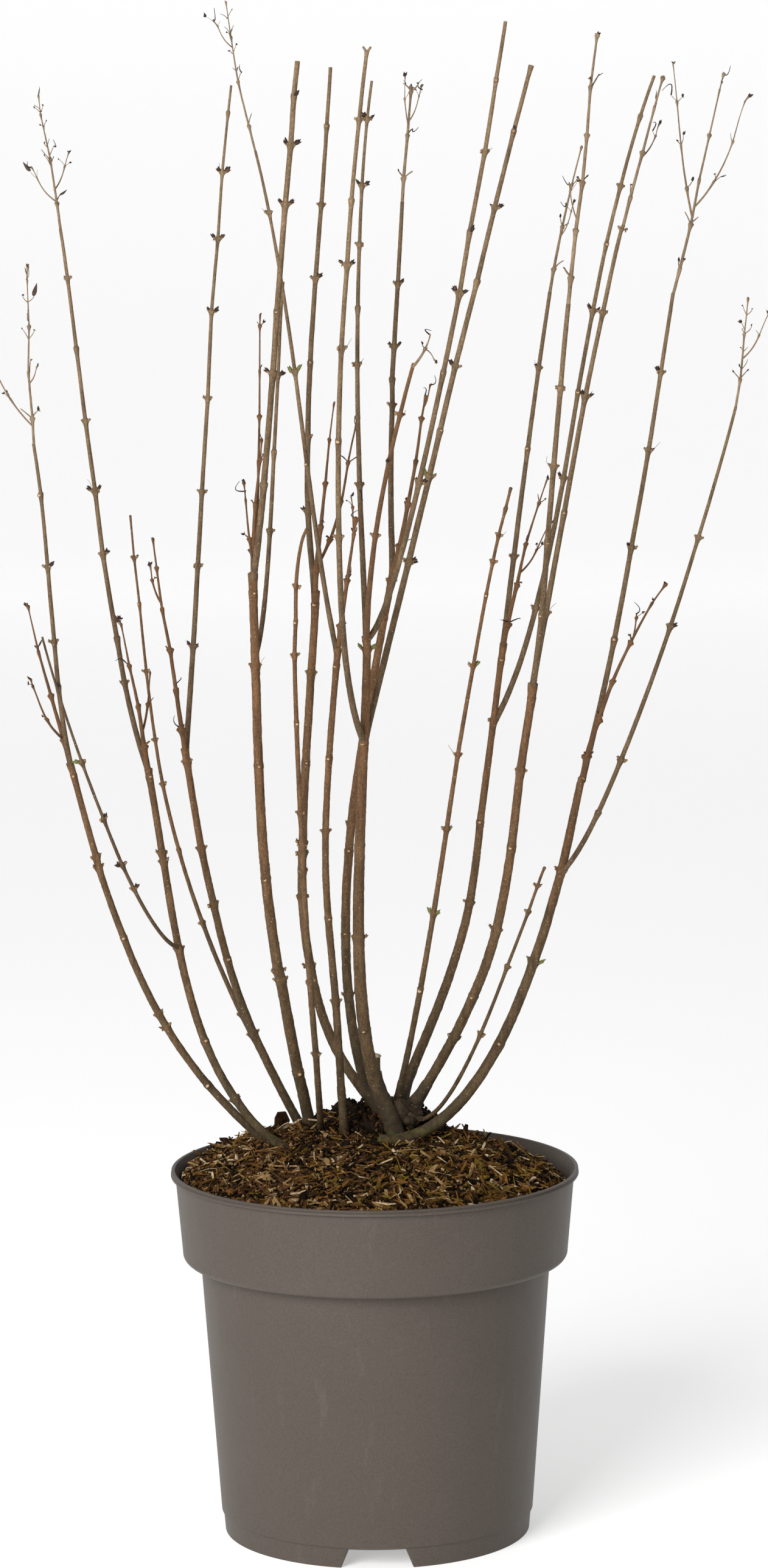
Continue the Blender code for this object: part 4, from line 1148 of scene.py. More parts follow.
def pot_profile():
    """Up the inside from the floor, over the lip, down the outside and round the foot ring.

    The lip is a thin upper bead, a groove below it and a lower bead that ends in a sharp edge.
    """
    top = POT_HEIGHT
    step = 0.0006
    under = (COLLAR_FOOT_RADIUS - COLLAR_ROUND, COLLAR_FOOT + COLLAR_ROUND)
    lip = RIM_RADIUS - np.array(
        [0.0016, 0.0009, 0.0004, 0.0003, 0.0007, 0.0010, 0.0007, 0.0002, 0.0, 0.0, 0.0002])
    drop = np.array(
        [0.0, 0.0001, 0.0004, 0.0010, 0.0014, 0.0019, 0.0023, 0.0026, 0.0031,
         LIP_HEIGHT - 0.0002, LIP_HEIGHT])
    return np.concatenate([
        run((INNERMOST, FOOT_HEIGHT + FLOOR_THICKNESS), *inner_wall()[::-1], step=0.02),
        arc((RIM_RADIUS - LIP_WIDTH + LIP_ROUND, top - LIP_ROUND), LIP_ROUND, 180, 90, 5),
        np.stack([lip, top - drop], axis=1),
        arc((COLLAR_TOP_RADIUS + step, top - LIP_HEIGHT - step), step, 90, 180, 3),
        run((COLLAR_TOP_RADIUS, top - LIP_HEIGHT - 2 * step),
            (COLLAR_FOOT_RADIUS, COLLAR_FOOT + COLLAR_ROUND + step), step=0.010),
        arc(under, COLLAR_ROUND, 0, -90, 8),
        arc((BODY_TOP_RADIUS + step, COLLAR_FOOT - step), step, 90, 180, 3),
        run((BODY_TOP_RADIUS, COLLAR_FOOT - 2 * step), (BODY_FOOT_RADIUS, FOOT_HEIGHT + step), step=0.02),
        run((FOOT_TOP_RADIUS, FOOT_HEIGHT - step), (FOOT_RADIUS, 0.0), step=0.002),
        run((FOOT_RADIUS - WALL, 0.0), (FOOT_TOP_RADIUS - WALL, FOOT_HEIGHT), (INNERMOST, FOOT_HEIGHT),
            step=0.02),
    ])


def pot_bend(look):
    """Raise the foot ring's lower part at the notches, and give the lip's lower edge its ragged flash."""
    def bend(radius, height, angle):
        """The grids of radius and height, changed by their angles."""
        front = angle + math.pi / 2
        spacing = TURN / NOTCH_COUNT
        off = np.abs((front + spacing / 2) % spacing - spacing / 2) * FOOT_RADIUS
        slope = (NOTCH_FOOT_WIDTH / 2 - off) / ((NOTCH_FOOT_WIDTH - NOTCH_TOP_WIDTH) / 2)
        floor = np.clip(slope, 0, 1) * NOTCH_HEIGHT
        ring = height < FOOT_HEIGHT - 0.0001
        height = np.where(ring, floor + height * (1 - floor / FOOT_HEIGHT), height)
        lip_foot = POT_HEIGHT - LIP_HEIGHT
        near = (np.abs(height - lip_foot) < 0.0003) & (radius > COLLAR_TOP_RADIUS + 0.0008)
        rng = np.random.default_rng(5)
        count = angle.shape[1]
        steps = np.repeat(rng.choice([0.0, 0.0, 0.3, 0.6, 1.0], count), 3)[:count]
        worst = 0.35 + 0.65 * np.exp(-((np.mod(front, TURN) - 0.12) / 0.35)**2)
        height = height - near * look.flash * steps * worst
        return radius, height
    return bend


class LILAC_OT_pot(bpy.types.Operator):
    """The nursery pot: a profile turned about Z, with notches in its foot ring."""

    bl_idname = "lilac.pot"
    bl_label = "Pot"

    def execute(self, context):
        """Place the pot."""
        look = context.scene.lilac_pot
        half = NOTCH_FOOT_WIDTH / 2 / FOOT_RADIUS
        top = NOTCH_TOP_WIDTH / 2 / FOOT_RADIUS
        corners = [turn + side for turn in np.arange(NOTCH_COUNT) * TURN / NOTCH_COUNT - math.pi / 2
                   for side in (-half, -top, top, half)]
        angles = np.concatenate([np.linspace(0, TURN, POT_SIDES, endpoint=False), corners])
        angles = np.unique(np.round(np.mod(angles, TURN), 9))
        shape = turned(pot_profile(), angles, pot_bend(look)).turn_over()
        pot = place("nursery_pot", shape, [pot_finish(look)], ("pot",))
        pot.data.set_sharp_from_angle(angle=math.radians(SHARP_EDGE))
        return {"FINISHED"}


# Mulch

def bed_shape():
    """The bed as a surface turned about Z: heaped and crumbly on top, then down the pot's wall to its floor.

    The crumbs are three layers of fourteen sines of the place, each layer finer than the one before.
    """
    wall = inner_wall() - np.array([WALL_GAP, 0.0])
    drop = (wall[0, 1] - MULCH_EDGE) / (wall[0, 1] - wall[1, 1])
    edge = wall[0, 0] + (wall[1, 0] - wall[0, 0]) * drop
    rings = np.linspace(INNERMOST, edge, BED_RINGS)
    top = np.stack([rings, np.full(len(rings), MULCH_EDGE)], axis=1)
    profile = np.concatenate([top, wall[1:], [(INNERMOST, wall[-1, 1])]])

    def heap(radius, height, angle):
        """Lift the top to the lumpy heap, with its crumbs fading out at the wall."""
        x, y = radius * np.cos(angle), radius * np.sin(angle)
        rough = 0
        for seed, turns, depth in BED_CRUMBS:
            pulls = np.random.default_rng(seed).normal(size=(14, 3)) * (turns, turns, 6)
            rough = rough + depth * sum(np.sin(a * x + b * y + c) for a, b, c in pulls) / 3.5
        fade = np.clip((edge - radius) / 0.010, 0, 1)
        on_top = np.arange(len(profile))[:, None] < len(rings)
        return radius, np.where(on_top, mounded_top(x, y) + fade * rough, height)

    return turned(profile, np.linspace(0, TURN, BED_SIDES, endpoint=False), heap), edge


def clear_of_stems(x, y, room):
    """Whether points on the soil keep clear of every stem's foot."""
    free = np.ones(len(x), bool)
    for name, foot, *_ in STEMS:
        free &= np.hypot(x - foot[0], y - foot[1]) > LIMBS[name].thick / 2 + room
    return free


def flakes(rng, middles, ways, ups, lengths, widths, thickness, corners=5, curl=0.0):
    """Chips: prisms over uneven outlines of a few corners, bent along their length by curl.

    Outline = half length x |cos a| to the power 0.7 along the way and half width x |sin a| to the power 0.8
    across it, with their signs, each times its own chance, and bent by curl x length x (place along it)
    squared. Lengths, widths and thickness are one number or one for every chip.
    """
    count = len(middles)
    lengths, widths, thickness = (np.broadcast_to(size, count) for size in (lengths, widths, thickness))
    sides = unit(np.cross(ups, ways))
    turn = np.arange(corners) + rng.uniform(-0.28, 0.28, (count, corners)) + rng.uniform(0, 1, (count, 1))
    turn = turn * TURN / corners
    size = rng.uniform(0.80, 1.12, (count, corners))
    along = np.sign(np.cos(turn)) * np.abs(np.cos(turn))**0.7 * size
    across = np.sign(np.sin(turn)) * np.abs(np.sin(turn))**0.8 * size
    flat = ways[:, None] * (along * lengths[:, None] / 2)[..., None] + sides[:, None] * (
        across * widths[:, None] / 2)[..., None]
    bend = (curl * lengths)[:, None] * along**2
    half = thickness[:, None] * rng.uniform(0.3, 0.7, (count, corners))
    low = middles[:, None] + flat + ups[:, None] * (bend - half)[..., None]
    high = middles[:, None] + flat * 0.9 + ups[:, None] * (bend + half)[..., None]
    ends = np.stack([low.mean(axis=1), high.mean(axis=1)], axis=1)
    quads, tris = rings_to_faces(count, 2, corners)
    return Shape(np.concatenate([low, high, ends], axis=1).reshape(-1, 3), quads, tris)


def scatter(rng, count, lengths, lift, tilt, edge):
    """Places for chips on the bed, clear of the stems and inside the wall.

    They are middles, ways along the chips, ups out of them and their lengths.
    """
    size = rng.uniform(0, 1, count)**1.7 * (lengths[1] - lengths[0]) + lengths[0]
    distance, turn = edge * np.sqrt(rng.uniform(0, 1, count)), rng.uniform(0, TURN, count)
    x, y = distance * np.cos(turn), distance * np.sin(turn)
    keep = clear_of_stems(x, y, CHIP_GAP)
    x, y, size = x[keep], y[keep], size[keep]
    count = len(x)
    heading = rng.uniform(0, TURN, count)
    step = 0.002
    slope_x = (mounded_top(x + step, y) - mounded_top(x - step, y)) / (2 * step)
    slope_y = (mounded_top(x, y + step) - mounded_top(x, y - step)) / (2 * step)
    lean = rng.normal(size=(count, 2)) * tilt
    ups = unit(np.stack([-slope_x + lean[:, 0], -slope_y + lean[:, 1], np.ones(count)], axis=1))
    level = np.stack([np.cos(heading), np.sin(heading), np.zeros(count)], axis=1)
    ways = unit(level - ups * (level * ups).sum(axis=1)[:, None])
    rise = rng.uniform(*lift, count) + 0.25 * size * np.hypot(*lean.T)
    near_wall = np.clip((edge - np.hypot(x, y)) / 0.012, 0.3, 1)
    middles = np.stack([x, y, mounded_top(x, y) + rise * near_wall], axis=1)
    reach = [np.hypot(*(middles + ways * size[:, None] * half)[:, :2].T) for half in (-0.55, 0.55)]
    over = np.maximum(np.maximum(*reach) - edge, 0)
    middles[:, :2] *= (1 - over / np.maximum(np.hypot(*middles[:, :2].T), 1e-6))[:, None]
    return middles, ways, ups, size


def felt(ground, x, y):
    """How strongly a patch of ground is felt: strength x exp(-(x / wide) squared - (y / deep) squared)."""
    strength, at_x, at_y, wide, deep = ground
    return strength * np.exp(-((x - at_x) / wide)**2 - ((y - at_y) / deep)**2)


def deal_colours(rng, middles, damp):
    """A colour for each chip by chance: dark round the crown, green at the front's right, dry at the left."""
    x, y = middles[:, 0], middles[:, 1]
    dark, green, dry = felt(DAMP_GROUND, x, y) + damp, felt(MOSSY_GROUND, x, y), felt(DRY_GROUND, x, y)
    odds = np.array([share * (1 + dark * wet + green * moss + dry * sun)
                     for _, share, wet, moss, sun in CHIP_COLOURS.values()])
    steps = np.cumsum(odds, axis=0) / odds.sum(axis=0)
    return (rng.uniform(0, 1, len(x))[None] > steps[:-1]).sum(axis=0)


def place_chips(name, shape, palette, shades, corners, rings=2):
    """Join chips into one piece, with each chip's material by its shade's number."""
    piece = place(name, shape, palette, smooth=False)
    index = np.concatenate([np.repeat(shades, corners * (rings - 1)), np.repeat(shades, 2 * corners)])
    piece.data.polygons.foreach_set("material_index", index.astype(np.int32))


class LILAC_OT_mulch_bed(bpy.types.Operator):
    """The compost under the chips: a heaped, crumbly surface."""

    bl_idname = "lilac.mulch_bed"
    bl_label = "Mulch bed"

    def execute(self, context):
        """Place the bed."""
        finish = bed_finish(context.scene.lilac_mulch)
        place("mulch_bed", bed_shape()[0].turn_over(), [finish], ("mulch",))
        return {"FINISHED"}


# Colours of chips: colour, share, and how much more of them lie where it is damp, mossy and dry
CHIP_COLOURS = {
    "peat_black": ((0.010, 0.005, 0.0020), 0.18, 1.0, 0.2, 0.0),
    "bark_dark": ((0.044, 0.021, 0.0070), 0.22, 0.8, 0.1, 0.2),
    "bark_brown": ((0.110, 0.052, 0.0150), 0.20, 0.2, 0.3, 1.0),
    "bark_orange": ((0.215, 0.098, 0.0230), 0.14, 0.0, 0.7, 0.6),
    "bark_tan": ((0.370, 0.230, 0.0950), 0.10, 0.0, 0.5, 1.0),
    "bark_pale": ((0.640, 0.470, 0.2800), 0.055, 0.0, 0.2, 1.0),
    "bark_olive": ((0.185, 0.118, 0.0150), 0.065, 0.0, 1.4, 0.0),
    "bark_red": ((0.150, 0.062, 0.0290), 0.05, 0.1, 0.1, 1.0),
}

# Layers of chips: name, share of the count, corners and damp,
# then lengths, widths, thickness, lift over the bed and tilt
CHIP_LAYERS = [
    ("chips_under", 0.28, 5, 1.8,
     (0.006, 0.018), (0.0024, 0.0056), (0.0009, 0.0018), (-0.0010, 0.0010), 0.40),
    ("chips_flakes", 0.30, 5, 0.3,
     (0.004, 0.014), (0.0011, 0.0032), (0.0006, 0.0014), (0.0004, 0.0030), 0.50),
    ("chips_splinters", 0.36, 4, -0.3,
     (0.006, 0.019), (0.0006, 0.0016), (0.0006, 0.0012), (0.0010, 0.0040), 0.38),
    ("chips_crumbs", 0.40, 5, 1.0,
     (0.0014, 0.0040), (0.0009, 0.0022), (0.0008, 0.0018), (0.0000, 0.0030), 0.80),
    ("chips_plates", 0.007, 6, 0.3,
     (0.012, 0.020), (0.0036, 0.0060), (0.0010, 0.0018), (0.0016, 0.0032), 0.25),
]

# Straws and root fibres: name, count, lengths, thickness, and the numbers of their colours
THREADS = [
    ("straws", 130, (0.008, 0.028), 0.0010, (5, 4, 3)),
    ("fibres", 420, (0.005, 0.018), 0.0007, (1, 2, 6)),
]

# Pieces that stand out on the mulch: ends (x, y), width, and the number of the colour
LAID_PIECES = [
    ((0.054, -0.020), (0.074, -0.062), 0.0034, 7),
    ((-0.014, 0.002), (-0.033, -0.052), 0.0018, 3),
    ((0.039, -0.055), (0.024, -0.085), 0.0016, 4),
    ((0.038, -0.090), (0.058, -0.091), 0.0013, 5),
    ((0.026, -0.029), (0.028, -0.038), 0.0028, 5),
    ((0.036, -0.020), (0.039, -0.028), 0.0016, 5),
    ((-0.102, -0.013), (-0.088, -0.030), 0.0050, 5),
    ((-0.080, -0.066), (-0.055, -0.078), 0.0024, 4),
    ((0.066, -0.023), (0.090, -0.030), 0.0060, 2),
    ((-0.043, -0.054), (-0.050, -0.020), 0.0020, 4),
]
LAID_LIFT = 0.0040

# Flakes that stand on their edge: place (x, y), length, width, the number of the colour, and curl
STOOD_PIECES = [
    (-0.0745, 0.034, 0.014, 0.0060, 1, 0.25),
    (-0.0700, 0.035, 0.012, 0.0050, 0, -0.25),
    (0.070, 0.038, 0.012, 0.004, 1, 0.1),
    (0.095, 0.020, 0.009, 0.004, 2, 0.1),
]
STOOD_LIFT = 0.0065

# The upright block of bark behind the left stems: middle, way along it, way out of its face, then its length,
# width and thickness
BARK_BLOCK = ((-0.073, 0.098, 0.2960), (0.98, 0.2, 0.05), (-0.2, 0.95, 0.2), 0.0125, 0.0175, 0.0040)

# The pale stone in front of the crown: middle, half sizes and its two colours
STONE = ((-0.007, -0.012, 0.3045), (0.0026, 0.0022, 0.0018))
STONE_COLOURS = ((0.46, 0.42, 0.26), (0.28, 0.25, 0.14))


class LILAC_OT_mulch_chips(bpy.types.Operator):
    """Thousands of chips, splinters and crumbs of bark, each layer one joined piece of several colours."""

    bl_idname = "lilac.mulch_chips"
    bl_label = "Chips of bark"

    def execute(self, context):
        """Place each layer, the straws, the fibres and the few pieces that stand out."""
        look = context.scene.lilac_mulch
        edge = bed_shape()[1] - CHIP_GAP
        palette = [plain_finish(name, colour, 0.40, 0.90, 520.0, 0.0004, 0.10)
                   for name, (colour, *_) in CHIP_COLOURS.items()]
        for seed, (name, share, corners, damp, lengths, widths, thick, lift, tilt) in enumerate(CHIP_LAYERS):
            rng = np.random.default_rng(100 + seed)
            middles, ways, ups, size = scatter(rng, int(look.chips * share), lengths, lift, tilt, edge)
            count = len(middles)
            broad = np.minimum(rng.uniform(*widths, count), size)
            curl = rng.normal(size=count) * 0.05
            shape = flakes(rng, middles, ways, ups, size, broad, rng.uniform(*thick, count), corners, curl)
            place_chips(name, shape, palette, deal_colours(rng, middles, damp), corners)
        self.straws(edge, palette)
        self.laid(palette)
        return {"FINISHED"}

    def straws(self, edge, palette):
        """Thin straws and root fibres, as tapering tubes that lie on the bed."""
        rng = np.random.default_rng(140)
        for name, count, lengths, thick, shades in THREADS:
            middles, ways, _, size = scatter(rng, count, lengths, (0.001, 0.004), 0.25, edge)
            half = ways * size[:, None] / 2
            width = rng.uniform(0.6, 1.1, len(size)) * thick
            shape = spikes(middles - half, middles + half, width, width * 0.7, 4, 4, bow=0.06, seed=9)
            place_chips(name, shape, palette, rng.choice(shades, len(size)), 4, rings=4)

    def laid(self, palette):
        """The pieces that stand out, flakes on their edge, a block of bark and a pale stone."""
        rng = np.random.default_rng(150)
        ends = np.array([[(*one, 0.0), (*two, 0.0)] for one, two, *_ in LAID_PIECES])
        ends[..., 2] = mounded_top(ends[..., 0], ends[..., 1]) + LAID_LIFT
        span = ends[:, 1] - ends[:, 0]
        middles, ways, size = ends.mean(axis=1), unit(span), np.linalg.norm(span, axis=1)
        ups = unit(UP - ways * ways[:, 2:3])
        for x, y, *_ in STOOD_PIECES:
            middles = np.vstack([middles, [x, y, mounded_top(x, y) + STOOD_LIFT]])
            ways = np.vstack([ways, unit(np.array([rng.uniform(-0.3, 0.3), 0.1, 1.0]))])
            ups = np.vstack([ups, unit(np.array([rng.uniform(-0.5, 0.5), -1.0, 0.1]))])
        tall, wide, tints, bent = (list(part) for part in list(zip(*STOOD_PIECES))[2:])
        size = np.concatenate([size, tall])
        broad = np.array([width for *_, width, _ in LAID_PIECES] + wide)
        shades = np.array([shade for *_, shade in LAID_PIECES] + tints)
        curl = np.array([0.0] * len(LAID_PIECES) + bent)
        thick = np.minimum(broad * 0.4, 0.0016)
        shape = flakes(rng, middles, ways, ups, size, broad, thick, 6, curl)
        place_chips("chips_laid", shape, palette, shades, 6)
        middle, way, face, *sizes = BARK_BLOCK
        block = flakes(rng, np.array([middle]), np.array([way]), np.array([face]), *sizes, 7)
        place_chips("bark_block", block, palette, np.array([1]), 7)
        stone = lumps(*(np.array([part]) for part in STONE), 31, depth=0.08)
        place("stone", stone, [plain_finish("pale_stone", *STONE_COLOURS, 0.6)])


def lumps(centres, sizes, seed, rings=14, around=20, depth=0.22, pull=3.5):
    """Knobbly balls: radius = half size x (1 + depth x a sum of six sines of the direction)."""
    rng = np.random.default_rng(seed)
    count = len(centres)
    polar = np.linspace(math.pi - 0.12, 0.12, rings)[:, None]
    angle = round_of(around)
    level = np.sin(polar)
    way = np.stack([level * np.cos(angle), level * np.sin(angle), np.cos(polar) + 0 * angle], axis=-1)
    pulls = rng.normal(size=(count, 6, 3)) * pull * np.array([1, 1, 1, 2, 2, 3])[None, :, None]
    phases = rng.uniform(0, TURN, (count, 6))
    swing = np.sin(np.einsum("rak,cwk->craw", way, pulls) + phases[:, None, None])
    scale = 1 + depth * swing.sum(axis=-1) / math.sqrt(6)
    points = centres[:, None, None] + way[None] * sizes[:, None, None] * scale[..., None]
    ends = np.stack([points[:, 0].mean(axis=1), points[:, -1].mean(axis=1)], axis=1)
    quads, tris = rings_to_faces(count, rings, around)
    return Shape(np.concatenate([points.reshape(count, -1, 3), ends], axis=1).reshape(-1, 3), quads, tris)


def neck_of(limb):
    """The thick neck from the crown's hub up into a stem: a quadratic bend from hub past foot to stem."""
    share = np.linspace(0, 1, 16)[:, None]
    foot = limb.root
    hub = CROWN_HUB + (foot - CROWN_HUB) * 0.35 - UP * 0.004
    upper = limb.point(NECK_REACH / limb.span)
    path = hub * (1 - share)**2 + foot * 2 * share * (1 - share) + upper * share**2
    radius = limb.thick / 2 * (1.75 - 0.72 * share)
    return path, radius


class LILAC_OT_crown(bpy.types.Operator):
    """The woody crown: thick necks that run together, knuckles over them, and clods of peat between."""

    bl_idname = "lilac.crown"
    bl_label = "Crown"

    def execute(self, context):
        """Place wood and peat."""
        look = context.scene.lilac_bark
        around = 22
        angle = round_of(around)
        shapes = []
        for name in CROWN_STEMS:
            path, radius = neck_of(LIMBS[name])
            length = np.linspace(0, 0.03, len(path))[:, None]
            knobs = relief(letters_of(name), 6, 4, 130.0, angle, length, lowest=2)
            radius = radius * (1 + 0.10 * knobs)
            shapes.append(tubes(path[None], radius[None], around, dome=0.4, reference=DEEP))
        share = np.linspace(0, 1, 26)
        knobs = relief(62, 8, 5, 150.0, angle, share[:, None] * FRONT_NECK.span)
        radius = (FRONT_NECK.radius(share) * (1 + 0.16 * np.sin(math.pi * share)))[:, None]
        radius = radius * (1 + 0.09 * knobs)
        shapes.append(tubes(FRONT_NECK.point(share)[None], radius[None], around, dome=0.3, reference=DEEP))
        cores = np.array(CROWN_CORES)
        shapes.append(lumps(cores[:, :3], cores[:, 3:], 66, rings=40, around=56, depth=0.085, pull=6.5))
        rng = np.random.default_rng(61)
        which = rng.integers(0, len(cores), KNUCKLES)
        out = unit(rng.normal(size=(KNUCKLES, 3)) * (1, 1, 0.8))
        places = cores[which, :3] + out * cores[which, 3:] * 0.86
        sizes = rng.uniform(0.0016, 0.0031, (KNUCKLES, 1)) * rng.uniform(0.75, 1.25, (KNUCKLES, 3))
        shapes.append(lumps(places, sizes, 62, depth=0.22, pull=4.5))
        for shape in shapes:
            height = shape.points[:, 2]
            # Soil with painted shade low on the crown, a band of moss, and a tone that darkens towards the
            # bottom
            soil = np.exp(-np.maximum(height - CROWN_SOIL_AND_SHADE[0], 0) / CROWN_SOIL_AND_SHADE[1])
            moss = np.exp(-((height - CROWN_MOSS[0]) / CROWN_MOSS[1])**2)
            tone = (height - CROWN_TONE[0]) / CROWN_TONE[1]
            shape.marks = {"tone": tone, "soil": soil, "moss": moss}
        bark = look.stem_low
        wood = bark_finish("crown_bark", look, shaded(bark, 0.55), shaded(bark, 0.75), bark)
        place("crown_wood", join(shapes), [wood], ("stool",))
        top = LIMBS["cut_stub"].tip[None] - UP * 0.0004
        torn = lumps(top, np.array([[0.0031, 0.0031, 0.0020]]), 65, depth=0.20, pull=5.0)
        place("stub_top", torn, [bpy.data.materials["cut_wood"]])
        self.peat(context.scene.lilac_mulch, rng)
        return {"FINISHED"}

    def peat(self, look, rng):
        """Clods and crumbs of dark peat round the necks."""
        clods = np.array(PEAT_CLODS)
        sizes = clods[:, 3:4] * rng.uniform(0.75, 1.25, (len(clods), 3))
        centre, half = STOOL_CENTRE - UP * 0.004, STOOL_HALF_SIZE * 0.84
        shapes = [lumps(clods[:, :3], sizes, 63, 18, 26, 0.30, 4.0),
                  lumps(centre[None], half[None], 64, 40, 60, 0.10, 6.0)]
        place("peat_clods", join(shapes), [bed_finish(look)])
        count = CLOD_CRUMBS
        which = rng.integers(0, len(clods), count)
        ways = unit(rng.normal(size=(count, 3)) * (1, 1, 0.8))
        ways[:, 2] = np.abs(ways[:, 2])
        spots = clods[which, :3] + ways * clods[which, 3:4] * rng.uniform(0.9, 1.25, (count, 1))
        extra = unit(rng.normal(size=(count, 3)))
        extra[:, 2] = np.abs(extra[:, 2])
        around_crown = centre + extra * half * rng.uniform(1.0, 1.07, (count, 1))
        spots = np.concatenate([spots, around_crown])
        along = unit(rng.normal(size=spots.shape))
        ups = unit(np.cross(along, rng.normal(size=spots.shape)))
        size = rng.uniform(0.0015, 0.0048, len(spots))
        shape = flakes(rng, spots, along, ups, size, size * rng.uniform(0.4, 0.9, len(size)), size * 0.4)
        palette = [bpy.data.materials[name] for name in ("peat_black", "bark_dark", "bark_brown")]
        place_chips("peat_crumbs", shape, palette, rng.choice([0, 0, 0, 1, 1, 2], len(spots)), 5)


# Stems and boughs

def place_limb(name, look, bark, cut_wood):
    """One limb with its bark, and pale wood on its end where it was cut."""
    cut = name in CUT_TOPS
    shape = bark_of(LIMBS[name], look, cut)
    piece = place("bark_" + name, shape, [bark, cut_wood], (name,))
    if cut:
        around = look.sides_of_a_stem if LIMBS[name].is_stem else look.sides_of_a_bough
        index = np.zeros(len(piece.data.polygons), np.int32)
        index[-around:] = 1
        piece.data.polygons.foreach_set("material_index", index)
        piece.data.set_sharp_from_angle(angle=math.radians(CUT_EDGE))


class LILAC_OT_stems(bpy.types.Operator):
    """The stems that rise from the crown and the soil, and the boughs that they carry."""

    bl_idname = "lilac.stems"
    bl_label = "Stems and boughs"

    def execute(self, context):
        """Place every limb."""
        look = context.scene.lilac_bark
        buds = context.scene.lilac_buds
        lower = bark_finish("weathered_bark", look, look.stem_low, look.stem_middle, look.stem_high)
        upper = bark_finish("grey_bark", look, look.bough_low, look.bough_middle, look.bough_high)
        warm = twig_finish("warm_bark", buds.spur)
        cut_wood = plain_finish("cut_wood", buds.cut, 0.6, 0.8, 900.0, 0.0001)
        for name, *_ in STEMS:
            place_limb(name, look, lower, cut_wood)
        for name, *_ in BOUGHS:
            place_limb(name, look, warm if name == "bough_centre_front" else upper, cut_wood)
        return {"FINISHED"}


# Twigs

def sideways(direction, quarter):
    """A unit vector across a direction, level when quarter is even and turned a quarter when it is odd."""
    across = np.cross(direction, UP)
    size = np.linalg.norm(across)
    across = across / size if size > 0.01 else np.array([1.0, 0, 0])
    if quarter % 2:
        across = unit(np.cross(direction, across))
    return across


def spurs_of(leader, rng):
    """Side twigs by rule: at each node a pair stands across the leader, and each sprouts by chance."""
    made = []
    length = leader.span
    count = int((length - NODE_FIRST) / NODE_GAP) + 1
    for node in range(count):
        share = (NODE_FIRST + NODE_GAP * node) / length
        heading = leader.heading(share)
        across = sideways(heading, node)
        for side in (1, -1):
            sprouts = rng.random() < SPROUT_CHANCE
            reach = rng.uniform(*SPUR_LENGTHS)
            lean = math.radians(rng.uniform(*SPUR_LEANS))
            if sprouts and share < 0.97:
                way = heading * math.cos(lean) + across * (side * math.sin(lean))
                made.append((leader.point(share), way, reach, float(leader.radius(share)) * SPUR_SHARE))
    return made


def samples(limb):
    """Points along a limb, closer together than the clearance, each with its radius."""
    share = np.linspace(0, 1, int(limb.span / KEEP_CLEAR) + 2)
    return limb.point(share), limb.radius(share)


def free_of(point, others):
    """Whether a point keeps clear of every sampled limb."""
    return all((np.linalg.norm(spots - point, axis=1) > radii + KEEP_CLEAR).all() for spots, radii in others)


def long_twig(name, leader, share, tip, thick):
    """A side twig that leaves its leader sideways and turns up."""
    root = leader.point(share)
    level = np.asarray(tip, float) - root
    level[2] = 0
    return Limb(name, root, tip, level * TURN_UP, level * (TURN_UP / 2), thick, thick * 0.55)


def grow_twigs():
    """Each mass by name: its leader and long side twigs, and its spurs as (root, way, reach, thickness)."""
    taken = {name: samples(limb) for name, limb in LIMBS.items()}
    masses = {}
    for seed, (name, carrier, tip, bow, thick, thin, branches) in enumerate(TWIGS):
        rng = random.Random(seed)
        leader = Limb(name, fork_start(LIMBS[carrier], 1.0), tip, bow, bow, thick, thin)
        grown = [leader] + [long_twig(name + "_side", leader, *branch) for branch in branches]
        near = [spots for other, spots in taken.items() if other != carrier]
        spurs = [spur for stalk in grown for spur in spurs_of(stalk, rng)
                 if free_of(spur[0] + spur[1] * spur[2], near)]
        masses[name] = (grown, spurs)
        points, radii = zip(*[samples(stalk) for stalk in grown])
        taken[name] = (np.concatenate(points), np.concatenate(radii))
    return masses


MASSES = grow_twigs()


def stalk_shape(stalk, look, knobby):
    """A leader or long side twig: a tube that opens into a cup with two ears at each node of the rule.

    Its radius is the solid's taper, drawn thinner towards the tip by the square of the share. Knobby twigs
    stay thicker and have larger cups.
    """
    seed = letters_of(stalk.name) + int(stalk.span * 10000)
    at = NODE_FIRST + NODE_GAP * np.arange(int((stalk.span - NODE_FIRST) / NODE_GAP) + 1)
    at = np.append(at[at < stalk.span * 0.97], stalk.span - 0.0012)
    heads = stalk.heading(at / stalk.span)
    across = np.array([sideways(head, node) for node, head in enumerate(heads)]).reshape(-1, 3)
    one = unit(np.cross(DEEP, heads))
    turn = np.arctan2((across * np.cross(heads, one)).sum(axis=1), (across * one).sum(axis=1))
    length = ring_places(0.0, stalk.span, at, look.ring_step)
    share = length / stalk.span
    angle = round_of(TWIG_SIDES)
    thick = stalk.radius(at / stalk.span)
    slim = (1.10 if knobby else 0.92) - look.tip_slimming * share**2
    grid = (np.maximum(stalk.radius(share), 0.0004) * slim)[:, None] * np.ones((1, TWIG_SIDES))
    cup, ear = (0.60, 1.00) if knobby else (0.40, 0.70)
    grid += swelling(length, angle, at, turn, thick * cup, thick * ear + 0.0003)
    grid *= 1 + 0.06 * relief(seed, 5, 3, 120.0, angle, length[:, None])
    path = stalk.point(share)
    kink(path, length, at, stalk.span, seed, TWIG_KINK)
    return tubes(path[None], grid[None], TWIG_SIDES, dome=0.5, reference=DEEP)


def whips_of(leader, rng):
    """Hair-thin twiglets in opposite pairs below a leader's tip, each pair a quarter turn from the last."""
    made = []
    for pair in range(1, WHIP_PAIRS + 1):
        share = 1 - WHIP_GAP * pair / leader.span
        if share < 0.35:
            break
        heading = leader.heading(share)
        across = sideways(heading, pair)
        for side in (1, -1):
            lean = math.radians(rng.uniform(*WHIP_LEANS))
            way = heading * math.cos(lean) + across * (side * math.sin(lean))
            made.append((leader.point(share), way, rng.uniform(*WHIP_LENGTHS)))
    return made


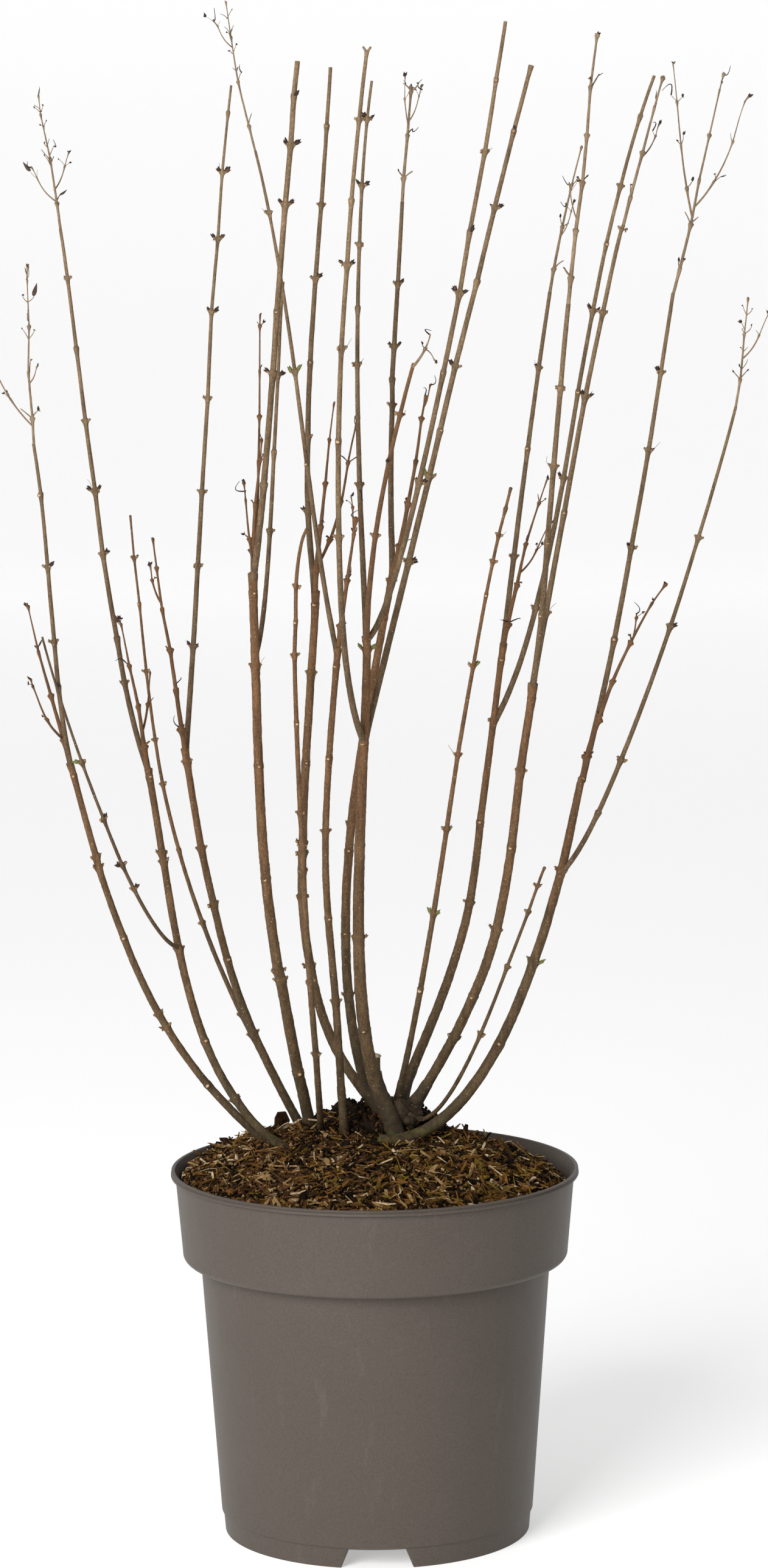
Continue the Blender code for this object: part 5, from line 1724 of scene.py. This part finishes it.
def all_whips():
    """The whips of each mass that has them, by name."""
    rng = random.Random(77)
    return {name: whips_of(MASSES[name][0][0], rng) for name in WHIPPED}


class LILAC_OT_twigs(bpy.types.Operator):
    """Each twig mass: its leader, side twigs, spurs and whips, drawn finer than the solid."""

    bl_idname = "lilac.twigs"
    bl_label = "Twigs"

    def execute(self, context):
        """Place every mass."""
        look = context.scene.lilac_buds
        bark = context.scene.lilac_bark
        short = twig_finish("short_shoot_bark", look.spur)
        tall = twig_finish("tall_shoot_bark", look.twig)
        whips = all_whips()
        for name, (grown, spurs) in MASSES.items():
            knobby = not name.endswith("_top")
            shapes = [stalk_shape(stalk, bark, knobby) for stalk in grown]
            if spurs:
                roots, ways, reaches, thick = (np.array(part) for part in zip(*spurs))
                tips = roots + ways * (reaches * (LOW_SPUR_SHARE if knobby else 1.0))[:, None]
                wide = thick * (2.3 if knobby else 1.7)
                shapes.append(spikes(roots, tips, wide, wide * 0.6, 6, 6, bow=0.05, seed=len(name)))
            if name in whips:
                roots, ways, reaches = (np.array(part) for part in zip(*whips[name]))
                tips = roots + ways * reaches[:, None]
                shapes.append(spikes(roots, tips, WHIP_THICKNESS, WHIP_THICKNESS * 0.5, bow=0.05, seed=3))
            finish = short if knobby else tall
            place("fine_" + name, join(shapes), [finish], (name,))
        return {"FINISHED"}


# Buds and scars

def node_spots():
    """Both ears of every node: places, ways out and ways of growth, then their kinds and two tests.

    The tests are whether an ear stands on its node's named side, and whether it is on a stem. The named side
    is the left one at l, the right one at r, the front one at f and s, and both at b and g.
    """
    look = bpy.context.scene.lilac_bark
    spots, outs, ups, kinds, low = [], [], [], [], []
    for limb in LIMBS.values():
        at, letters, turn = nodes_of(limb)
        if not letters:
            continue
        ring, _, ears = stand_of(limb, letters, look)
        stand = ears + ring
        share = at / limb.span
        centre, heading, radius = limb.point(share), limb.heading(share), limb.radius(share)
        one = unit(np.cross(DEEP, heading))
        two = np.cross(heading, one)
        for side in (0, math.pi):
            out = one * np.cos(turn + side)[:, None] + two * np.sin(turn + side)[:, None]
            spots.append(centre + out * (radius + stand * 0.85)[:, None])
            outs.append(out)
            ups.append(heading)
            kinds.extend(letters)
            low.extend([limb.is_stem] * len(letters))
    outs = np.concatenate(outs)
    kinds = np.array(kinds)
    named = np.isin(kinds, ["b", "g"]) | (np.isin(kinds, ["f", "s"]) & (outs[:, 1] < 0))
    named |= ((kinds == "l") & (outs[:, 0] < 0)) | ((kinds == "r") & (outs[:, 0] > 0))
    return np.concatenate(spots), outs, np.concatenate(ups), kinds, named, np.array(low)


def bud_cluster(rng, roots, ways, ups, size, scales):
    """Clusters of pointed bud scales that fan out from each root."""
    shapes = []
    count = len(roots)
    for _ in range(scales):
        fan = ways * rng.uniform(0.3, 1.1, (count, 1)) + ups * rng.uniform(0.4, 1.2, (count, 1))
        fan = unit(fan + rng.normal(size=(count, 3)) * 0.22)
        length = size * rng.uniform(0.65, 1.15, count)
        width = length * rng.uniform(0.45, 0.62, count)
        shapes.append(ovals(roots, fan, length, width, roll=rng.uniform(0, 3)))
    return join(shapes)


class LILAC_OT_buds(bpy.types.Operator):
    """Buds, the stubs and scars beside them, hairs, dry leaves and the few buds that are opening."""

    bl_idname = "lilac.buds"
    bl_label = "Buds and scars"

    def execute(self, context):
        """Place what stands at the nodes, then what hangs on the twigs' tips."""
        look = context.scene.lilac_buds
        rng = np.random.default_rng(21)
        resting = plain_finish("bud_scales", look.bud, 0.4, 0.5, 900.0, 0.0001)
        brown = plain_finish("bud_tips", look.bud_tip, 0.4, 0.55, 900.0, 0.0001)
        self.at_nodes(look, rng, resting, brown)
        self.at_tips(look, rng, resting, brown)
        return {"FINISHED"}

    def at_nodes(self, look, rng, resting, brown):
        """Stubs on the ears, clusters of scales, green buds, scars and hairs."""
        spots, outs, ups, kinds, named, low = node_spots()
        count = len(spots)
        bark = bpy.data.materials["tall_shoot_bark"]
        draw = rng.uniform(0, 1, count)
        ways = unit(outs + ups * rng.uniform(0.5, 1.2, (count, 1)))
        stubs = (kinds != "o") & (kinds != "s")
        reach = rng.uniform(*STUB_LENGTHS, (count, 1))
        start = (spots - outs * 0.0009 - ups * 0.0006)[stubs]
        stub = spikes(start, (spots + ways * reach)[stubs], *STUB_WIDTHS, rings=4, around=7, seed=7)
        place("node_stubs", stub, [bark])
        roots = spots - outs * 0.0007

        def clusters(chosen, size, scales):
            """Bud scales on the chosen ears."""
            return bud_cluster(rng, roots[chosen], outs[chosen], ups[chosen], size, scales)

        budded = named & np.isin(kinds, ["b", "l", "r", "f"])
        dark, warm = budded & ~low, budded & low
        small = ~named & ~low & np.isin(kinds, ["e", "f", "l", "r"]) & (draw < SMALL_BUD_SHARE)
        big = rng.uniform(*BUD_LENGTHS, count)
        closed = join([clusters(dark, big[dark], 6), clusters(small, big[small] * 0.55, 2)])
        place("resting_buds", closed, [resting])
        lighter = join([clusters(dark, big[dark] * 0.85, 2), clusters(warm, big[warm] * 0.60, 4)])
        place("bud_tips", lighter, [brown])
        green = named & (kinds == "g") & (draw < GREEN_BUD_SHARE)
        opening = clusters(green, rng.uniform(*GREEN_BUD_LENGTHS, green.sum()), 4)
        leaf_green = plain_finish("opening_green", look.green, 0.55, 0.5, 700.0)
        place("opening_buds", opening, [leaf_green])
        scarred = (named & (kinds == "s")) | ((draw > 1 - SCAR_SHARE) & (outs[:, 1] < 0.3))
        self.scars(look, rng, spots[scarred], outs[scarred], ups[scarred])
        hairy = np.isin(kinds, ["e", "b", "l", "r"]) & (draw < HAIR_SHARE) & (spots[:, 2] > 0.6)
        start = (spots + outs * 0.0002)[hairy]
        lean = unit(ups + outs * rng.uniform(0.1, 0.9, (count, 1)))[hairy]
        ends = start + lean * rng.uniform(*HAIR_LENGTHS, hairy.sum())[:, None]
        place("hairs", spikes(start, ends, *HAIR_WIDTHS, 6, 4, bow=0.14, seed=8), [bark])

    def scars(self, look, rng, spots, outs, ups):
        """Pale corky plates across the front of the nodes, each on a slightly larger orange brown one."""
        size = rng.uniform(*SCAR_LENGTHS, len(spots))
        faces = unit(outs + ups * 0.35)
        across = unit(np.cross(ups, outs))
        under = spots - ups * 0.0009
        rim = flakes(rng, under - faces * 0.0003, across, faces, size * 1.35, size * 1.15, 0.0007, 8)
        rusty = plain_finish("scar_rims", look.rim, 0.5, 0.7, 900.0, 0.0001)
        place("scar_rims", rim, [rusty])
        plate = flakes(rng, under, across, faces, size, size * 0.75, 0.0005, 8)
        pale = plain_finish("leaf_scars", look.scar, 0.6, 0.8, 900.0, 0.0001)
        place("leaf_scars", plate, [pale])

    def at_tips(self, look, rng, resting, brown):
        """Scales, dried curls and dry leaves on the tips of twigs, and the forked top of a bough."""
        tips = []
        for name, (_, spurs) in MASSES.items():
            part = 1.0 if name.endswith("_top") else LOW_SPUR_SHARE
            tips += [(root + way * (reach * part), way, 0.9) for root, way, reach, _ in spurs]
        tips += [(stalk.tip, stalk.heading(0.98), 1.2) for grown, _ in MASSES.values() for stalk in grown]
        whips = all_whips()
        tips += [(root + way * reach, way, 0.55) for name in WHIPPED for root, way, reach in whips[name]]
        roots, heads, scale = (np.array(part) for part in zip(*tips))
        count = len(roots)
        side = unit(np.cross(heads, rng.normal(size=heads.shape)))
        draw = rng.uniform(0, 1, count)
        budded = draw < TIP_BUD_SHARE
        size = rng.uniform(*TIP_BUD_LENGTHS, count) * scale
        base = roots - heads * SINK_OF_A_TIP_BUD
        dark = bud_cluster(rng, base[budded], side[budded], heads[budded], size[budded], 3)
        place("tip_buds", dark, [resting])
        lighter = bud_cluster(rng, base[budded], -side[budded], heads[budded], size[budded] * 0.8, 1)
        place("tip_scales", lighter, [brown])
        curled = (draw > TIP_BUD_SHARE) & (draw < TIP_BUD_SHARE + CURL_SHARE) & (scale > 0.8)
        ends = roots + (heads * 0.8 + side * 0.6) * rng.uniform(*CURL_LENGTHS, (count, 1))
        curls = spikes(base[curled], ends[curled], *CURL_WIDTHS, rings=9, bow=0.32, seed=12)
        withered = plain_finish("withered", (0.022, 0.015, 0.011), (0.010, 0.007, 0.005), 0.7)
        place("dried_curls", curls, [withered])
        near = np.hypot(roots[:, 0] - LEAFY_PLACE[0], roots[:, 2] - LEAFY_PLACE[1]) < LEAFY_REACH
        leafy = (draw > 1 - LEAFY_SHARE) & near & (roots[:, 0] < LEAFY_EDGE)
        leafy |= draw > 1 - STRAY_LEAF_SHARE
        long = rng.uniform(*LEAF_LENGTHS, count)
        tilt = unit(heads + side * 0.5)
        leaves = ovals(base[leafy], tilt[leafy], long[leafy], long[leafy] * 0.38, 8, 8, flat=0.35, bend=0.10)
        dry = plain_finish("dry_leaf", look.leaf, 0.45, 0.8, 500.0)
        place("dry_leaves", leaves, [dry])
        head = LIMBS["bough_centre_left"]
        prongs = np.array([(-1.0, 0.0, 1.2), (1.0, 0.2, 1.1)])
        ends = head.tip + unit(prongs) * 0.0042
        shape = spikes(np.repeat(head.tip[None], 2, 0) - UP * 0.001, ends, *PRONG_WIDTHS, 4, 8, seed=2)
        place("forked_top", shape, [bpy.data.materials["tall_shoot_bark"]])


# Stage

class LILAC_OT_stage(bpy.types.Operator):
    """A pale floor that curves up into a backdrop, soft lights and the camera."""

    bl_idname = "lilac.stage"
    bl_label = "Stage"

    def execute(self, context):
        """Place floor, lights and camera."""
        look = context.scene.lilac_stage
        self.backdrop(look)
        self.lights(look)
        self.camera(context, look)
        context.scene.view_settings.view_transform = "Standard"
        return {"FINISHED"}

    def backdrop(self, look):
        """A flat floor, a quarter round and a wall, as one sheet of paper that glows a little."""
        bend = np.radians(np.linspace(-90, 0, 13))
        wall = ROUND_START + ROUND_RADIUS
        deep = np.concatenate([[FLOOR_START, 0.0], ROUND_START + ROUND_RADIUS * np.cos(bend), [wall]])
        tall = np.concatenate([[0.0, 0.0], ROUND_RADIUS + ROUND_RADIUS * np.sin(bend), [BACKDROP_TOP]])
        wide = np.array([-STAGE_HALF_WIDTH, STAGE_HALF_WIDTH])
        points = np.stack([np.repeat(wide[None], len(deep), 0), np.repeat(deep[:, None], 2, 1),
                           np.repeat(tall[:, None], 2, 1)], axis=-1)
        row = np.arange(len(deep) - 1)[:, None] * 2
        mesh = bpy.data.meshes.new("backdrop")
        mesh.from_pydata(points.reshape(-1, 3).tolist(), [], (row + np.array([0, 1, 3, 2])).tolist())
        mesh.polygons.foreach_set("use_smooth", np.ones(len(mesh.polygons), bool))
        paper = Finish("backdrop_paper", 0.95, 0.1)
        paper.colour(look.floor)
        paper.shader.inputs["Emission Color"].default_value = (1, 1, 1, 1)
        paper.shader.inputs["Emission Strength"].default_value = look.glow
        mesh.materials.append(paper.material)
        sheet = bpy.data.objects.new("backdrop", mesh)
        bpy.context.scene.collection.objects.link(sheet)

    def lights(self, look):
        """A large soft light at the left of the front, and an even sky."""
        light = bpy.data.lights.new("key", "AREA")
        light.shape = "SQUARE"
        light.size = LIGHT_SIZE
        light.energy = look.key
        lamp = bpy.data.objects.new("key", light)
        lamp.location = LIGHT_PLACE
        lamp.rotation_euler = (Vector(LIGHT_AIM) - lamp.location).to_track_quat("-Z", "Y").to_euler()
        bpy.context.scene.collection.objects.link(lamp)
        world = bpy.data.worlds.new("sky")
        world.use_nodes = True
        sky = world.node_tree.nodes["Background"]
        sky.inputs["Color"].default_value = (1, 1, 1, 1)
        sky.inputs["Strength"].default_value = look.sky
        bpy.context.scene.world = world

    def camera(self, context, look):
        """The camera stands in front and looks along +Y, pitched down and rolled a little."""
        pitch, roll = math.radians(CAMERA_PITCH), math.radians(CAMERA_ROLL)
        raised = Vector((0, math.sin(pitch), math.cos(pitch)))
        right = Vector((1, 0, 0)) * math.cos(roll) + raised * math.sin(roll)
        upwards = raised * math.cos(roll) - Vector((1, 0, 0)) * math.sin(roll)
        turn = Matrix((right, upwards, right.cross(upwards))).transposed()
        data = bpy.data.cameras.new("camera")
        data.sensor_width = SENSOR
        data.lens = LENS
        data.clip_end = 50.0
        camera = bpy.data.objects.new("camera", data)
        spot = Matrix.Translation((CAMERA_ASIDE, -look.distance, look.height))
        camera.matrix_world = spot @ turn.to_4x4()
        context.scene.collection.objects.link(camera)
        context.scene.camera = camera


STEPS = [LILAC_OT_pot, LILAC_OT_mulch_bed, LILAC_OT_mulch_chips, LILAC_OT_stems, LILAC_OT_crown,
         LILAC_OT_twigs, LILAC_OT_buds, LILAC_OT_stage]


class LILAC_PT_panel(bpy.types.Panel):
    """The steps in order, then what a user would change."""

    bl_idname = "LILAC_PT_panel"
    bl_label = "Lilac bush"
    bl_space_type = "VIEW_3D"
    bl_region_type = "UI"
    bl_category = "Lilac"

    def draw(self, context):
        """List the operators and the settings."""
        for step in STEPS:
            self.layout.operator(step.bl_idname)
        for name in LOOKS:
            group = getattr(context.scene, name)
            box = self.layout.box()
            for setting in group.bl_rna.properties:
                if setting.identifier not in {"name", "rna_type"}:
                    box.prop(group, setting.identifier)


def register():
    """Register the settings, the steps and the panel."""
    for name, look in LOOKS.items():
        bpy.utils.register_class(look)
        setattr(bpy.types.Scene, name, bpy.props.PointerProperty(type=look))
    for step in [*STEPS, LILAC_PT_panel]:
        bpy.utils.register_class(step)


def unregister():
    """Take them off again."""
    for step in [LILAC_PT_panel, *reversed(STEPS)]:
        bpy.utils.unregister_class(step)
    for name, look in LOOKS.items():
        delattr(bpy.types.Scene, name)
        bpy.utils.unregister_class(look)


def main():
    """Run every step."""
    register()
    for step in STEPS:
        group, action = step.bl_idname.split(".")
        getattr(getattr(bpy.ops, group), action)()


if __name__ == "__main__":
    main()
